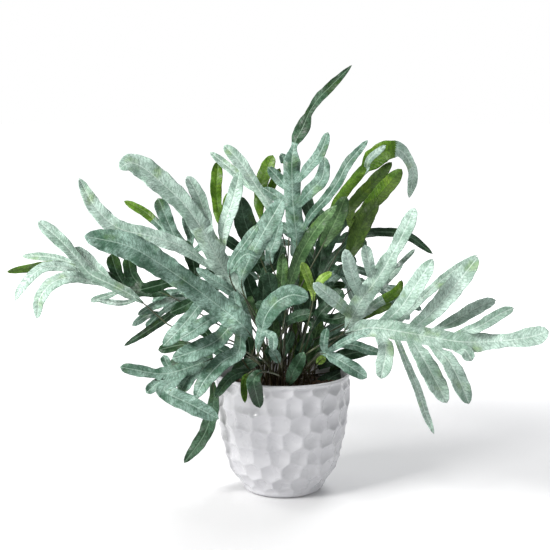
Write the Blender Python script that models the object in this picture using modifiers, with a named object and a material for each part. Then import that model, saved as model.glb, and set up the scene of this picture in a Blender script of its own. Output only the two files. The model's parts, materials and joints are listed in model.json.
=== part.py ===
"""Blue star fern in a white honeycomb pot, at life size.

Axes: +X right, +Z up, and the front of the pot looks along -Y.
The origin is the centre of the pot's flat base.
Fronds are laid out in millimetres across, up and in front of the pot's axis, as an eye
standing in front of the plant sees them, and seen() turns that into metres in space.
"""

import math

import bmesh
import bpy
import numpy as np
from mathutils import kdtree

MM = 0.001

# The eye that the fronds are laid out for: its distance, its downward tilt and where it stands
EYE_DISTANCE = 1300.0
EYE_TILT = math.radians(8.0)
EYE = np.array([-8.2, -1287.35, 400.0])
PICTURE_ACROSS = -8.0
PICTURE_UP = 212.0

# Pot: outer profile as height and radius, in metres
POT_HEIGHT = 0.1206
POT_PROFILE = ((0.0, 0.036), (0.004, 0.0412), (0.0115, 0.0472), (0.023, 0.054), (0.033, 0.058),
               (0.045, 0.0605), (0.064, 0.0645), (0.090, 0.0675), (0.1206, 0.0675))
POT_WALL = 0.0045
POT_FLOOR = 0.006
LIP_BAND = 0.0035
LIP_ROUND = 0.001
LIP_FLAT = 0.0028
CELL_ROWS = ((0.016, 17), (0.0305, 18), (0.0465, 21), (0.0635, 22), (0.081, 22), (0.099, 22))
RELIEF_FOOT = 0.006
DIMPLE = 0.0018
RIM_DIMPLE = 0.0006
INNER_STEPS = 30
INSIDE_HEIGHTS = (0.1186, 0.064, 0.033, 0.010)
FLOOR_ROUND = 0.003

# Soil
SOIL_TOP = 0.106
SOIL_GAP = 0.0004
HOLE_DEPTH = 0.008
HOLE_PLAY = 0.0004
HOLE_SIDES = 7

# Fronds, in millimetres
BLADE = 0.8
STALK_RADIUS = 1.1
STALK_STEP = 30.0
RIB_OVERLAP = 0.7
ROOT_REACH = 0.42
ROOT_LIMIT = 47.0
ROOT_SPACING = 7.0
ROW_STEP = 14.5
MOST_ROWS = 5
END_ROWS = 8
LATEST_END = 0.93
WIDE_LOBE = 12.5
CLEAR = 3.5
NEAR = 4.6
WING_GROWTH = 18.0
SAMPLE_ALONG = 5.0
SAMPLE_ACROSS = 4.0
ROUNDS = 600
EASE = 0.999
SETTLED = 0.3
MOST_BEND = 45.0

# Ways to join a blade with its stalk, tried in turn: the solver, and whether it also joins the
# blade where it crosses itself
UNION_WAYS = (("EXACT", True), ("EXACT", False), ("MANIFOLD", False))

# Fronds of the far side: heading in degrees from +X, reach, rise and droop in metres
REAR_FRONDS = ((62, 0.175, 0.110, 0.050), (86, 0.205, 0.150, 0.045), (108, 0.190, 0.115, 0.050),
               (130, 0.195, 0.104, 0.050), (152, 0.165, 0.085, 0.040), (36, 0.170, 0.095, 0.045))
REAR_LOBES = (0.56, 0.60, 0.70, 0.75, 0.84, 0.88)
REAR_LENGTHS = (0.050, 0.046, 0.034)
REAR_WING = 5.0

# Half width of a lobe and of a whole blade, from root to tip, as a share of its widest
LOBE_OUTLINE = ((0.0, 0.84), (0.15, 0.8), (0.32, 0.9), (0.52, 1.0), (0.74, 0.97), (0.88, 0.78), (0.96, 0.46),
                (1.0, 0.06))
BLADE_OUTLINE = ((0.0, 0.3), (0.12, 0.6), (0.3, 0.92), (0.5, 1.0), (0.72, 0.94), (0.88, 0.68), (0.96, 0.38),
                 (1.0, 0.06))

# The same for two end lobes of their own shape: one twisted and narrow, one with a waist
TWISTED_OUTLINE = ((0.0, 0.35), (0.14, 0.38), (0.2, 0.75), (0.27, 1.0), (0.34, 0.9), (0.42, 0.5), (0.5, 0.5),
                   (0.62, 0.66), (0.78, 0.6), (0.92, 0.33), (1.0, 0.05))
WAISTED_OUTLINE = ((0.0, 1.0), (0.15, 0.98), (0.35, 0.75), (0.5, 0.66), (0.62, 0.8), (0.78, 1.0), (0.9, 0.88),
                   (0.97, 0.5), (1.0, 0.1))

FRONDS = []


def seen(points):
    """Metres in space for points given as millimetres across, up and in front of the pot's axis."""
    points = np.atleast_2d(np.asarray(points, float))
    a = (points[:, 0] - PICTURE_ACROSS) / EYE_DISTANCE
    b = (points[:, 1] - PICTURE_UP) / EYE_DISTANCE
    sin, cos = math.sin(EYE_TILT), math.cos(EYE_TILT)
    reach = (-EYE[1] - points[:, 2]) / (cos + b * sin)
    spot = np.column_stack([EYE[0] + a * reach, -points[:, 2], EYE[2] + reach * (b * cos - sin)])
    return spot * MM


def across_up_front(spot):
    """The same three millimetres for a point in space in metres."""
    x, y, z = np.asarray(spot, float) / MM - EYE
    sin, cos = math.sin(EYE_TILT), math.cos(EYE_TILT)
    depth = y * cos - z * sin
    rise = y * sin + z * cos
    return (PICTURE_ACROSS + EYE_DISTANCE * x / depth, PICTURE_UP + EYE_DISTANCE * rise / depth,
            -(y + EYE[1]))


def smooth_line(points):
    """A close row of points on the smooth curve through a few points."""
    points = np.asarray(points, float)
    ends = np.vstack([2 * points[0] - points[1], points, 2 * points[-1] - points[-2]])
    rows = []
    for k in range(len(points) - 1):
        p0, p1, p2, p3 = ends[k:k + 4]
        t = np.linspace(0.0, 1.0, 10, endpoint=False)[:, None]
        rows.append(0.5 * (2 * p1 + (p2 - p0) * t + (2 * p0 - 5 * p1 + 4 * p2 - p3) * t ** 2
                           + (3 * p1 - p0 - 3 * p2 + p3) * t ** 3))
    return np.vstack(rows + [points[-1:]])


class Ribbon:
    """A strip on a curved centre line: a stalk with its blade, or one lobe of a blade."""

    def __init__(self, name, points, tilt, knots, parent=None):
        self.name = name
        self.parent = parent
        self.tilt = tilt
        self.line = smooth_line(points)
        steps = np.linalg.norm(np.diff(self.line, axis=0), axis=1)
        self.run = np.concatenate([[0.0], np.cumsum(steps)])
        self.length = self.run[-1]
        self.knots = knots
        self.shift = np.zeros(knots + 1)
        self.root = 0.0

    def middle(self, t):
        """The centre line at shares t of its length, before it is bent clear."""
        where = np.clip(t, 0.0, 1.0) * self.length
        return np.column_stack([np.interp(where, self.run, self.line[:, k]) for k in range(3)])

    def heading(self, t):
        """The direction of the centre line as it is seen, a unit vector across and up."""
        step = 2.0 / self.length
        way = (self.middle(t + step) - self.middle(t - step))[:, :2]
        return way / np.maximum(np.linalg.norm(way, axis=1), 1e-6)[:, None]

    def bells(self, t):
        """How much each knot's shift counts at shares t: smooth weights that add up to one."""
        gap = np.abs(np.asarray(t)[:, None] * self.knots - np.arange(self.knots + 1)[None, :])
        return 0.5 + 0.5 * np.cos(math.pi * np.clip(gap, 0.0, 1.0))

    def bent(self, t):
        """The shift towards the eye at shares t."""
        shift = self.shift.copy()
        if self.parent is not None:
            shift[0] = self.parent.bent(np.array([self.root]))[0]
        return self.bells(np.asarray(t, float)) @ shift

    def place(self, t, v):
        """Points at share t of the length and share v of the half width, from -1 to 1."""
        t = np.asarray(t, float)
        half = self.half(t)
        side = self.sideways(t)
        spot = self.middle(t)
        spot[:, :2] += side * (half * v)[:, None]
        upward = np.sign(side[:, 1]) * np.minimum(np.abs(side[:, 1]) * 3.0, 1.0)
        lean = upward + 0.35 * np.sign(side[:, 0]) * (1.0 - np.abs(upward))
        spot[:, 2] -= lean * half * v * self.tilt * self.spread(t)
        spot[:, 2] += self.ripple(t, v)
        spot[:, 2] += self.bent(t)
        return spot


class Stalk(Ribbon):
    """A stalk that runs on as the rib of its blade, with a wing, up to the blade's end part."""

    def __init__(self, name, stalk, rib, width, wing, tilt, outline):
        points = list(stalk) + list(rib)
        super().__init__(name, points, tilt, knots=1)
        self.width = width
        self.wing = wing
        self.outline = outline
        count = 10 * len(stalk)
        self.base = self.run[min(count, len(self.run) - 1)] / self.length
        self.end = self.base
        self.knots = max(4, round(self.length / 32.0))
        self.shift = np.zeros(self.knots + 1)
        self.lobes = []

    def half(self, t):
        share = (t - self.end) / (1.0 - self.end)
        blade = 0.5 * self.width * np.interp(share, *zip(*self.outline))
        if not self.lobes:
            return np.where(t < self.base, STALK_RADIUS, blade)
        grown = np.clip((t - self.base) * self.length / WING_GROWTH, 0.0, 1.0)
        wing = STALK_RADIUS + (0.5 * self.wing - STALK_RADIUS) * grown
        close = np.clip(share / 0.12, 0.0, 1.0)
        blade = wing + (blade - wing) * close
        return np.where(t < self.base, STALK_RADIUS, np.where(t < self.end, wing, blade))

    def sideways(self, t):
        way = self.heading(t)
        return np.column_stack([-way[:, 1], way[:, 0]])

    def spread(self, t):
        return np.clip((t - self.base) * self.length / 15.0, 0.0, 1.0)

    def ripple(self, t, v):
        share = np.clip((t - self.end) / (1.0 - self.end), 0.0, 1.0)
        waves = max(1.0, (1.0 - self.end) * self.length / 26.0)
        phase = self.line[0, 0] + 1.7 * np.sign(v)
        return 1.5 * v ** 2 * np.sin(2 * math.pi * waves * share + phase) * np.minimum(share * 5.0, 1.0)

    def foot(self):
        return seen(self.line[0])[0]


class Lobe(Ribbon):
    """One lobe of a blade. Its first point lies on the rib that carries it."""

    def __init__(self, stalk, points, width, tilt):
        super().__init__(stalk.name, points, tilt, knots=3, parent=stalk)
        self.width = width
        start = np.asarray(points[0], float)[:2]
        rib = stalk.line[:, :2]
        blade = stalk.run >= stalk.base * stalk.length
        gaps = np.where(blade, np.linalg.norm(rib - start, axis=1), 1e9)
        self.root = stalk.run[int(np.argmin(gaps))] / stalk.length
        way = stalk.heading(np.array([self.root]))[0]
        out = self.heading(np.array([0.15]))[0]
        across = way[0] * out[1] - way[1] * out[0]
        self.side = 1.0 if across > 0 else -1.0
        lead = (way @ out) / max(abs(across), 0.3)
        self.root += 0.5 * stalk.half(np.array([self.root]))[0] * lead / stalk.length
        self.reach = 0.42 * width

    def settle(self, stalk):
        """Starts the lobe's centre line at the edge of the rib's wing."""
        edge = stalk.place(np.array([self.root]), np.array([self.side]))[0]
        edge[2] -= stalk.bent(np.array([self.root]))[0]
        points = np.vstack([edge, self.line[10::10]])
        self.line = smooth_line(points)
        steps = np.linalg.norm(np.diff(self.line, axis=0), axis=1)
        self.run = np.concatenate([[0.0], np.cumsum(steps)])
        self.length = self.run[-1]
        self.along = stalk.heading(np.array([self.root]))[0]

    def half(self, t):
        return 0.5 * self.width * np.interp(t, *zip(*LOBE_OUTLINE))

    def sideways(self, t):
        way = self.heading(t)
        turned = np.column_stack([-way[:, 1], way[:, 0]]) * -self.side
        share = np.clip(t / 0.3, 0.0, 1.0)[:, None]
        share = share * share * (3.0 - 2.0 * share)
        mixed = self.along[None, :] * (1.0 - share) + turned * share
        return mixed / np.maximum(np.linalg.norm(mixed, axis=1), 1e-6)[:, None]

    def spread(self, t):
        return np.clip(t / 0.3, 0.0, 1.0)

    def ripple(self, t, v):
        waves = max(1.0, self.length / 24.0)
        phase = self.line[-1, 0] + 1.7 * np.sign(v)
        return 1.3 * v ** 2 * np.sin(2 * math.pi * waves * t + phase) * np.minimum(t * 4.0, 1.0)


def lobe(points, width, tilt=0.6):
    """The centre line of one lobe from the rib outwards, its width and how much it leans."""
    return points, width, tilt


def grow(name, stalk, rib, width, wing=10, tilt=0.6, lobes=(), outline=None):
    """Notes one frond: its stalk, its rib to the tip, and the lobes along the rib."""
    if outline is None:
        outline = LOBE_OUTLINE if lobes else BLADE_OUTLINE
    FRONDS.append((name, stalk, rib, width, wing, tilt, lobes, outline))


def rear_frond(name, bearing, reach, rise, droop):
    """Notes one frond of the plant's far side: an arch with paired lobes, set out in space.

    bearing is its heading in degrees from +X, and reach, rise and droop are the metres it goes
    out, its height above the soil at its highest, and how far its tip sinks below that.
    """
    turn = math.radians(bearing)
    out = np.array([math.cos(turn), math.sin(turn), 0.0])
    across = np.array([-out[1], out[0], 0.0])
    base = np.array([0.0, 0.0, SOIL_TOP])

    def rib_spot(share):
        high = rise * math.sin(min(1.0, share / 0.6) * math.pi / 2)
        low = droop * max(0.0, (share - 0.6) / 0.4) ** 1.6
        return base + out * (0.026 + (reach - 0.026) * share ** 1.15) + np.array([0.0, 0.0, high - low])

    lobes = []
    for number, share in enumerate(REAR_LOBES):
        size = REAR_LENGTHS[number // 2]
        way = across * (1.0 if number % 2 else -1.0) * 0.86 + out * 0.5
        root = rib_spot(share)
        points = [root]
        for step in (0.5, 1.0):
            points.append(root + way * size * step + np.array([0.0, 0.0, 0.006 - 0.016 * step]) * step)
        lobes.append(([across_up_front(spot) for spot in points], 7.5, 1.2))
    stalk = [across_up_front(rib_spot(share)) for share in (0.2, 0.36)]
    rib = [across_up_front(rib_spot(share)) for share in (0.5, 0.66, 0.82, 0.92, 1.0)]
    grow(name, stalk, rib, width=8, wing=REAR_WING, tilt=1.2, lobes=lobes)


def root_spots():
    """Where the stalks stand in the soil: under their blades, drawn in, and spread apart."""
    spots = []
    for name, stalk, rib, *rest in FRONDS:
        base = seen(rib[0])[0] / MM
        spot = base[:2] * ROOT_REACH
        size = np.linalg.norm(spot)
        spots.append(spot * min(1.0, ROOT_LIMIT / max(size, 1e-6)))
    spots = np.array(spots)
    for turn in range(300):
        apart = spots[:, None, :] - spots[None, :, :]
        gaps = np.linalg.norm(apart, axis=2) + np.eye(len(spots)) * 1e3
        lack = np.clip(ROOT_SPACING - gaps, 0.0, None)
        spots += 0.4 * (apart / gaps[:, :, None] * lack[:, :, None]).sum(axis=1)
        size = np.linalg.norm(spots, axis=1)
        spots *= np.minimum(1.0, ROOT_LIMIT / np.maximum(size, 1e-6))[:, None]
    return spots


def share_wing(stalk, side):
    """Gives the lobes on one side of a rib their stretches of its wing, none on another."""
    lobes = sorted((each for each in stalk.lobes if each.side == side), key=lambda each: each.root)
    if not lobes:
        return []
    low = stalk.base * stalk.length + 3.0
    high = stalk.end * stalk.length - 0.5
    room = (high - low) / sum(2.2 * each.reach for each in lobes)
    reach = [each.reach * min(1.0, room) for each in lobes]
    spots = [each.root * stalk.length for each in lobes]
    for turn in range(200):
        for k in range(len(spots) - 1):
            lack = reach[k] + reach[k + 1] + 0.6 - (spots[k + 1] - spots[k])
            if lack > 0:
                spots[k] -= lack / 2
                spots[k + 1] += lack / 2
        spots = [min(max(spot, low + size), high - size) for spot, size in zip(spots, reach)]
    for each, spot, size in zip(lobes, spots, reach):
        each.root = spot / stalk.length
        each.reach = size
    return lobes


def plant():
    """All the fronds as ribbons, bent clear of each other."""
    stalks = []
    spots = root_spots()
    for spot, (name, stalk, rib, width, wing, tilt, lobes, outline) in zip(spots, FRONDS):
        foot = np.array([spot[0] * MM, spot[1] * MM, SOIL_TOP - HOLE_DEPTH + HOLE_PLAY])
        top = foot + np.array([0.0, 0.0, HOLE_DEPTH + 0.010])
        start = [across_up_front(foot), across_up_front(0.5 * (foot + top)), across_up_front(top)]
        one = Stalk(name, start + list(stalk), rib, width, wing, tilt, outline)
        for points, lobe_width, lobe_tilt in lobes:
            one.lobes.append(Lobe(one, points, lobe_width, lobe_tilt))
        if one.lobes:
            last = max(one.lobes, key=lambda each: each.root)
            one.end = min(last.root + 1.05 * last.reach / one.length, LATEST_END)
        for side in (-1.0, 1.0):
            share_wing(one, side)
        for each in one.lobes:
            each.settle(one)
        stalks.append(one)
    bend_clear(stalks)
    return stalks


def bend_clear(stalks):
    """Bends ribbons towards or away from the eye until no two of them touch.

    Each ribbon has a few knots. Points spread over all ribbons are paired where they lie
    close as the eye sees them, and the knots move till each pair is far enough apart.
    """
    ribbons = []
    for stalk in stalks:
        ribbons.append(stalk)
        ribbons.extend(stalk.lobes)
    first_knot = {}
    total = 0
    for ribbon in ribbons:
        first_knot[ribbon] = total
        total += ribbon.knots + 1
    fixed = np.zeros(total, bool)
    spots, owners, thick, weights, from_root = [], [], [], [], []
    for number, ribbon in enumerate(ribbons):
        rows = max(3, round(ribbon.length / SAMPLE_ALONG))
        low = 0.0 if ribbon.parent is None else 0.12
        for t in np.linspace(low, 1.0, rows):
            half = ribbon.half(np.array([t]))[0]
            stem = ribbon.parent is None and t < ribbon.base
            columns = 1 if stem else 1 + max(1, math.ceil(2 * half / SAMPLE_ACROSS))
            for v in (np.zeros(1) if columns == 1 else np.linspace(-1.0, 1.0, columns)):
                spots.append(ribbon.place(np.array([t]), np.array([v]))[0])
                owners.append(number)
                thick.append(STALK_RADIUS if stem else 0.5 * BLADE)
                from_root.append(t * ribbon.length)
                row = np.zeros(total)
                start = first_knot[ribbon]
                row[start:start + ribbon.knots + 1] = ribbon.bells(np.array([t]))[0]
                if ribbon.parent is not None:
                    share = row[start]
                    row[start] = 0.0
                    parent = ribbon.parent
                    start = first_knot[parent]
                    row[start:start + parent.knots + 1] += share * parent.bells(np.array([ribbon.root]))[0]
                weights.append(row)
        if ribbon.parent is None:
            fixed[first_knot[ribbon]:first_knot[ribbon] + 2] = True
    spots = np.array(spots)
    owners = np.array(owners)
    thick = np.array(thick)
    weights = np.array(weights)
    from_root = np.array(from_root)
    tree = kdtree.KDTree(len(spots))
    for k, spot in enumerate(spots):
        tree.insert((spot[0], spot[1], 0.0), k)
    tree.balance()
    pairs = []
    for k, spot in enumerate(spots):
        mine = ribbons[owners[k]]
        for other, j, gap in tree.find_range((spot[0], spot[1], 0.0), NEAR):
            if j <= k or owners[j] == owners[k]:
                continue
            its = ribbons[owners[j]]
            if mine.name == its.name and near_root(mine, from_root[k], its, from_root[j]):
                continue
            pairs.append((k, j))
    pairs = np.array(pairs)
    one, two = pairs[:, 0], pairs[:, 1]
    key = owners[one] * len(ribbons) + owners[two]
    sums = np.bincount(key, spots[one, 2] - spots[two, 2], minlength=len(ribbons) ** 2)
    order = np.where(sums[key] >= 0, 1.0, -1.0)
    need = CLEAR + thick[one] + thick[two]
    knots = np.zeros(total)
    for turn in range(ROUNDS):
        depth = spots[:, 2] + weights @ knots
        lack = need - order * (depth[one] - depth[two])
        push = np.clip(lack, 0.0, None)
        size = len(spots)
        move = np.bincount(one, order * push * push, minlength=size)
        move -= np.bincount(two, order * push * push, minlength=size)
        weight = np.bincount(one, push, minlength=size) + np.bincount(two, push, minlength=size)
        step = 0.5 * move / np.maximum(weight, 1e-9)
        active = weight > 1e-9
        strength = weights[active] * np.abs(step[active])[:, None]
        change = (strength * step[active][:, None]).sum(axis=0) / np.maximum(strength.sum(axis=0), 1e-9)
        change[fixed] = 0.0
        knots = np.clip((knots + change) * EASE, -MOST_BEND, MOST_BEND)
        if push.max() < SETTLED:
            break
    for ribbon in ribbons:
        start = first_knot[ribbon]
        ribbon.shift = knots[start:start + ribbon.knots + 1].copy()


def near_root(mine, my_run, its, its_run):
    """True where two ribbons of one frond are still close to where they join."""
    if mine.parent is None or its.parent is None:
        rib, rib_run, side, side_run = (mine, my_run, its, its_run)
        if mine.parent is not None:
            rib, rib_run, side, side_run = (its, its_run, mine, my_run)
        return side_run < 10.0 or abs(rib_run - side.root * rib.length) < side.reach + 7.0
    return my_run < 10.0 or its_run < 10.0


def zip_rows(one, two, faces):
    """Triangles between two rows of (key, vertex), taken in the order of their keys."""
    i = j = 0
    while i < len(one) - 1 or j < len(two) - 1:
        take_one = j == len(two) - 1
        if not take_one and i < len(one) - 1:
            take_one = one[i + 1][0] <= two[j + 1][0]
        if take_one:
            faces.append((one[i][1], one[i + 1][1], two[j][1]))
            i += 1
        else:
            faces.append((one[i][1], two[j + 1][1], two[j][1]))
            j += 1


def blade_sheet(stalk):
    """Vertices, as millimetres across, up and front, and triangles of a whole blade."""
    spots, faces = [], []

    def vertex(ribbon, t, v):
        spots.append(ribbon.place(np.array([t]), np.array([v]))[0])
        return len(spots) - 1

    rows = end_rows(stalk)
    chains = {}
    roots = {}
    for side in (-1.0, 1.0):
        lobes = sorted((each for each in stalk.lobes if each.side == side), key=lambda each: each.root)
        chain = [(stalk.base, vertex(stalk, stalk.base, side))]
        for each in lobes:
            size = each.reach / stalk.length
            row = []
            for v in columns_of(each):
                t = each.root + v * size
                row.append((v, vertex(stalk, t, side)))
                chain.append((t, row[-1][1]))
            roots[each] = row
        if stalk.lobes:
            chain.append((stalk.end, vertex(stalk, stalk.end, side)))
        chains[side] = chain
    middle = [(stalk.base, vertex(stalk, stalk.base, 0.0))]
    if stalk.lobes:
        steps = rib_steps(stalk)
        for t in np.linspace(stalk.base, stalk.end, steps + 1)[1:]:
            middle.append((t + (1e-4 if t == stalk.end else 0.0), vertex(stalk, t, 0.0)))
        for side in (-1.0, 1.0):
            zip_rows(chains[side], middle, faces)
    last = [(-1.0, chains[-1.0][-1][1]), (0.0, middle[-1][1]), (1.0, chains[1.0][-1][1])]
    fill_strip(stalk, last, stalk.end, rows, vertex, faces)
    for each, row in roots.items():
        fill_strip(each, row, 0.0, rows_of(each.length), vertex, faces)
    return np.array(spots), faces


def columns_of(ribbon):
    return (-1.0, 0.0, 1.0) if ribbon.width >= WIDE_LOBE else (-1.0, 1.0)


def rows_of(length):
    return min(MOST_ROWS, max(2, round(length / ROW_STEP)))


def end_rows(stalk):
    return min(END_ROWS, max(2, round((1.0 - stalk.end) * stalk.length / ROW_STEP)))


def row_share(start, row, rows):
    """Where a strip's rows lie along it, a little closer together towards the tip."""
    return start + (1.0 - start) * (row / rows) ** 0.9


def rib_steps(stalk):
    return max(1, round((stalk.end - stalk.base) * stalk.length / ROW_STEP))


def first_row(stalk):
    """The share of the length at which a blade has its second row of vertices."""
    if stalk.lobes:
        return stalk.base + (stalk.end - stalk.base) / rib_steps(stalk)
    return row_share(stalk.end, 1, end_rows(stalk))


def fill_strip(ribbon, row, start, rows, vertex, faces):
    """Fills a strip from its first row of vertices out to its tip."""
    for number in range(1, rows + 1):
        t = row_share(start, number, rows)
        if number == rows:
            fresh = [(0.0, vertex(ribbon, 1.0, 0.0))]
        else:
            fresh = [(v, vertex(ribbon, t, v)) for v in columns_of(ribbon)]
        zip_rows(row, fresh, faces)
        row = fresh


grow("frond_far_left",
     [(-45, 142, 0), (-78, 152, 2), (-110, 160, 4), (-125, 171, 4)],
     [(-140, 184, 4), (-157, 195, 6), (-175, 204, 8), (-193, 213, 8), (-205, 227, 6), (-223, 247, 2),
      (-245, 266, 0)],
     width=14, wing=11, lobes=(
         lobe([(-171, 202, 8), (-189, 221, -4), (-208, 240, -12)], 13, tilt=0.8),
         lobe([(-199, 219, 7), (-215, 225, 2), (-235, 230, -6), (-261, 231, -16)], 8, tilt=1.0),
         lobe([(-191, 212, 8), (-215, 219, 20), (-241, 219, 30), (-261, 200, 38), (-268, 186, 40)], 10, tilt=0.8),
         lobe([(-201, 222, 8), (-228, 223, 10), (-253, 219, 12), (-276, 215, 12)], 8, tilt=-0.8),
         lobe([(-179, 206, 8), (-207, 210, 24), (-229, 205, 36), (-243, 189, 44), (-246, 168, 46)], 13, tilt=0.7),
         lobe([(-165, 199, 7), (-176, 191, 20), (-193, 186, 30)], 7, tilt=1.0),
         lobe([(-147, 189, 5), (-163, 184, 20), (-186, 187, 34)], 6, tilt=1.2),
     ))
grow("frond_left_middle",
     [(-43, 147, -12), (-69, 165, -16), (-93, 179, -20)],
     [(-113, 191, -22), (-133, 197, -24), (-153, 198, -26), (-165, 212, -30), (-172, 233, -34)],
     width=14, wing=14, lobes=(
         lobe([(-143, 198, -25), (-152, 214, -36), (-155, 231, -42)], 14, tilt=0.8),
         lobe([(-156, 200, -26), (-169, 203, -18), (-180, 215, -14)], 11, tilt=0.9),
         lobe([(-125, 195, -23), (-117, 203, -32), (-105, 204, -40)], 8, tilt=1.0),
     ))
grow("frond_left_upper",
     [(-17, 155, 0), (-27, 172, 4)],
     [(-37, 188, 8), (-54, 209, 12), (-64, 226, 15), (-72, 241, 17), (-82, 259, 18), (-99, 283, 20),
      (-120, 303, 24), (-141, 320, 28), (-154, 324, 34), (-164, 318, 40)],
     width=23, wing=20, lobes=(
         lobe([(-75, 247, 17), (-77, 271, 8), (-85, 292, 2), (-96, 311, -2)], 14),
         lobe([(-67, 233, 15), (-59, 259, 2), (-50, 287, -8), (-43, 316, -14)], 15),
         lobe([(-60, 219, 13), (-101, 240, 30), (-133, 251, 40), (-165, 259, 46), (-188, 280, 44),
               (-204, 309, 38)], 17),
         lobe([(-45, 197, 10), (-61, 207, 24), (-77, 206, 34)], 9, tilt=0.9),
     ))
grow("frond_centre_left",
     [(-15, 125, 40), (-21, 137, 52)],
     [(-31, 150, 62), (-40, 161, 68), (-58, 176, 76), (-91, 201, 90), (-123, 223, 102),
      (-155, 241, 112), (-199, 251, 120)],
     width=27, wing=24, lobes=(
         lobe([(-37, 157, 66), (-39, 174, 58), (-45, 191, 50)], 11),
         lobe([(-50, 170, 73), (-47, 183, 68), (-50, 196, 62)], 12),
         lobe([(-77, 190, 84), (-93, 170, 92), (-107, 154, 98), (-120, 141, 100)], 15),
         lobe([(-61, 178, 78), (-77, 165, 98), (-90, 156, 108), (-103, 148, 112)], 15),
         lobe([(-45, 165, 70), (-67, 146, 98), (-88, 136, 112), (-111, 128, 118)], 19),
         lobe([(-33, 152, 63), (-45, 135, 88), (-61, 125, 104), (-78, 107, 116), (-88, 88, 120)], 17),
     ))
grow("frond_centre_arch",
     [(-13, 119, 52)],
     [(-25, 135, 68), (-22, 153, 80), (-17, 171, 92), (-6, 185, 98), (9, 192, 100), (26, 189, 100)],
     width=22, lobes=(
         lobe([(-21, 157, 82), (-10, 149, 96), (-10, 136, 102)], 10),
     ))
grow("frond_top",
     [(7, 152, -4), (14, 187, -8), (16, 215, -11)],
     [(14, 237, -14), (13, 255, -16), (10, 283, -20), (9, 307, -24), (9, 327, -27), (12, 344, -30),
      (20, 360, -32), (27, 376, -34), (36, 389, -36), (47, 400, -38), (69, 422, -40)],
     width=15, wing=17, outline=TWISTED_OUTLINE, lobes=(
         lobe([(10, 307, -24), (23, 317, -14), (37, 334, -6), (45, 355, -2)], 11),
         lobe([(11, 283, -20), (26, 295, -6), (39, 309, 4), (42, 330, 6)], 14),
         lobe([(13, 258, -16), (28, 272, 2), (44, 290, 12), (56, 307, 16), (65, 324, 16), (85, 347, 12)], 10),
         lobe([(9, 323, -26), (2, 324, -34), (-2, 334, -38)], 8),
         lobe([(9, 300, -23), (-3, 307, -38), (-15, 320, -46)], 11),
         lobe([(10, 280, -20), (-3, 288, -40), (-20, 299, -52)], 11),
         lobe([(13, 252, -16), (4, 256, -28), (-7, 265, -34)], 9),
     ))
grow("frond_centre_upright",
     [(-19, 142, 22), (-32, 175, 32)],
     [(-41, 199, 38), (-40, 213, 40), (-31, 233, 44), (-21, 252, 46), (-10, 271, 46), (0, 288, 44)],
     width=20, wing=12, lobes=(
         lobe([(-40, 211, 40), (-46, 219, 36), (-47, 231, 32)], 9),
     ))
grow("frond_back_pale",
     [(10, 157, -34), (7, 202, -50), (2, 241, -60)],
     [(-5, 265, -66), (-15, 284, -74), (-28, 303, -84), (-43, 325, -94), (-59, 342, -102)],
     width=13, lobes=(
         lobe([(-21, 293, -79), (-43, 310, -96), (-57, 322, -106), (-73, 335, -114)], 9),
     ))
grow("frond_back_yellow",
     [(3, 165, -44), (-19, 205, -66), (-41, 235, -84)],
     [(-55, 253, -94), (-64, 273, -102), (-67, 297, -110), (-65, 326, -118)],
     width=12, lobes=(
         lobe([(-63, 270, -101), (-57, 281, -90), (-54, 295, -84)], 8),
     ))
grow("frond_back_green",
     [(8, 165, -50), (-1, 207, -78), (-15, 245, -98)],
     [(-21, 265, -108), (-24, 287, -118), (-20, 309, -126), (-10, 332, -132)],
     width=14, lobes=(
         lobe([(-22, 283, -116), (-12, 299, -130), (-3, 319, -138)], 8),
     ))
grow("frond_right_arch",
     [(18, 157, -28), (26, 205, -52), (34, 243, -66)],
     [(46, 272, -78), (61, 294, -92), (81, 318, -108), (100, 335, -124), (118, 336, -138),
      (130, 315, -148), (126, 289, -152)],
     width=22, lobes=(
         lobe([(69, 308, -98), (86, 327, -92), (103, 342, -88)], 7, tilt=1.2),
     ))
grow("frond_right_back",
     [(19, 149, -14), (35, 195, -30), (55, 235, -42)],
     [(66, 255, -50), (75, 267, -56), (89, 284, -64), (105, 302, -72), (119, 318, -78)],
     width=16, wing=14, lobes=(
         lobe([(69, 258, -52), (69, 281, -72), (87, 301, -88), (109, 325, -98)], 13),
     ))
grow("frond_green_strap",
     [(-2, 139, 8), (2, 172, 16)],
     [(5, 193, 20), (9, 209, 24), (17, 231, 30), (29, 252, 36), (42, 269, 40), (54, 282, 42)],
     width=14)
grow("frond_dark_star",
     [(17, 139, -18), (28, 172, -26)],
     [(34, 194, -30), (38, 209, -34), (47, 225, -38), (60, 239, -44), (77, 252, -50), (102, 255, -58),
      (125, 251, -64), (150, 233, -66)],
     width=9, wing=11, lobes=(
         lobe([(40, 214, -36), (38, 232, -48), (40, 252, -56)], 12),
         lobe([(36, 203, -33), (29, 218, -24), (22, 232, -20)], 11),
         lobe([(45, 222, -38), (55, 217, -28), (67, 212, -22)], 9),
         lobe([(36, 201, -32), (49, 201, -20), (63, 202, -14)], 9),
     ))
grow("frond_right_middle",
     [(29, 127, 22), (47, 142, 30)],
     [(62, 157, 36), (69, 169, 40), (80, 189, 46), (97, 212, 52), (111, 236, 56), (122, 257, 58),
      (132, 279, 58)],
     width=15, wing=18, lobes=(
         lobe([(93, 207, 50), (86, 223, 58), (82, 242, 62)], 12),
         lobe([(81, 190, 46), (70, 209, 62), (62, 238, 70)], 14),
         lobe([(71, 172, 41), (54, 185, 58), (30, 204, 68)], 14),
         lobe([(71, 172, 41), (93, 183, 30), (113, 195, 24), (119, 207, 22)], 10),
         lobe([(84, 195, 47), (104, 208, 36), (120, 225, 30)], 9),
         lobe([(103, 222, 53), (119, 225, 46), (132, 238, 42)], 5, tilt=1.2),
     ))
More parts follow.
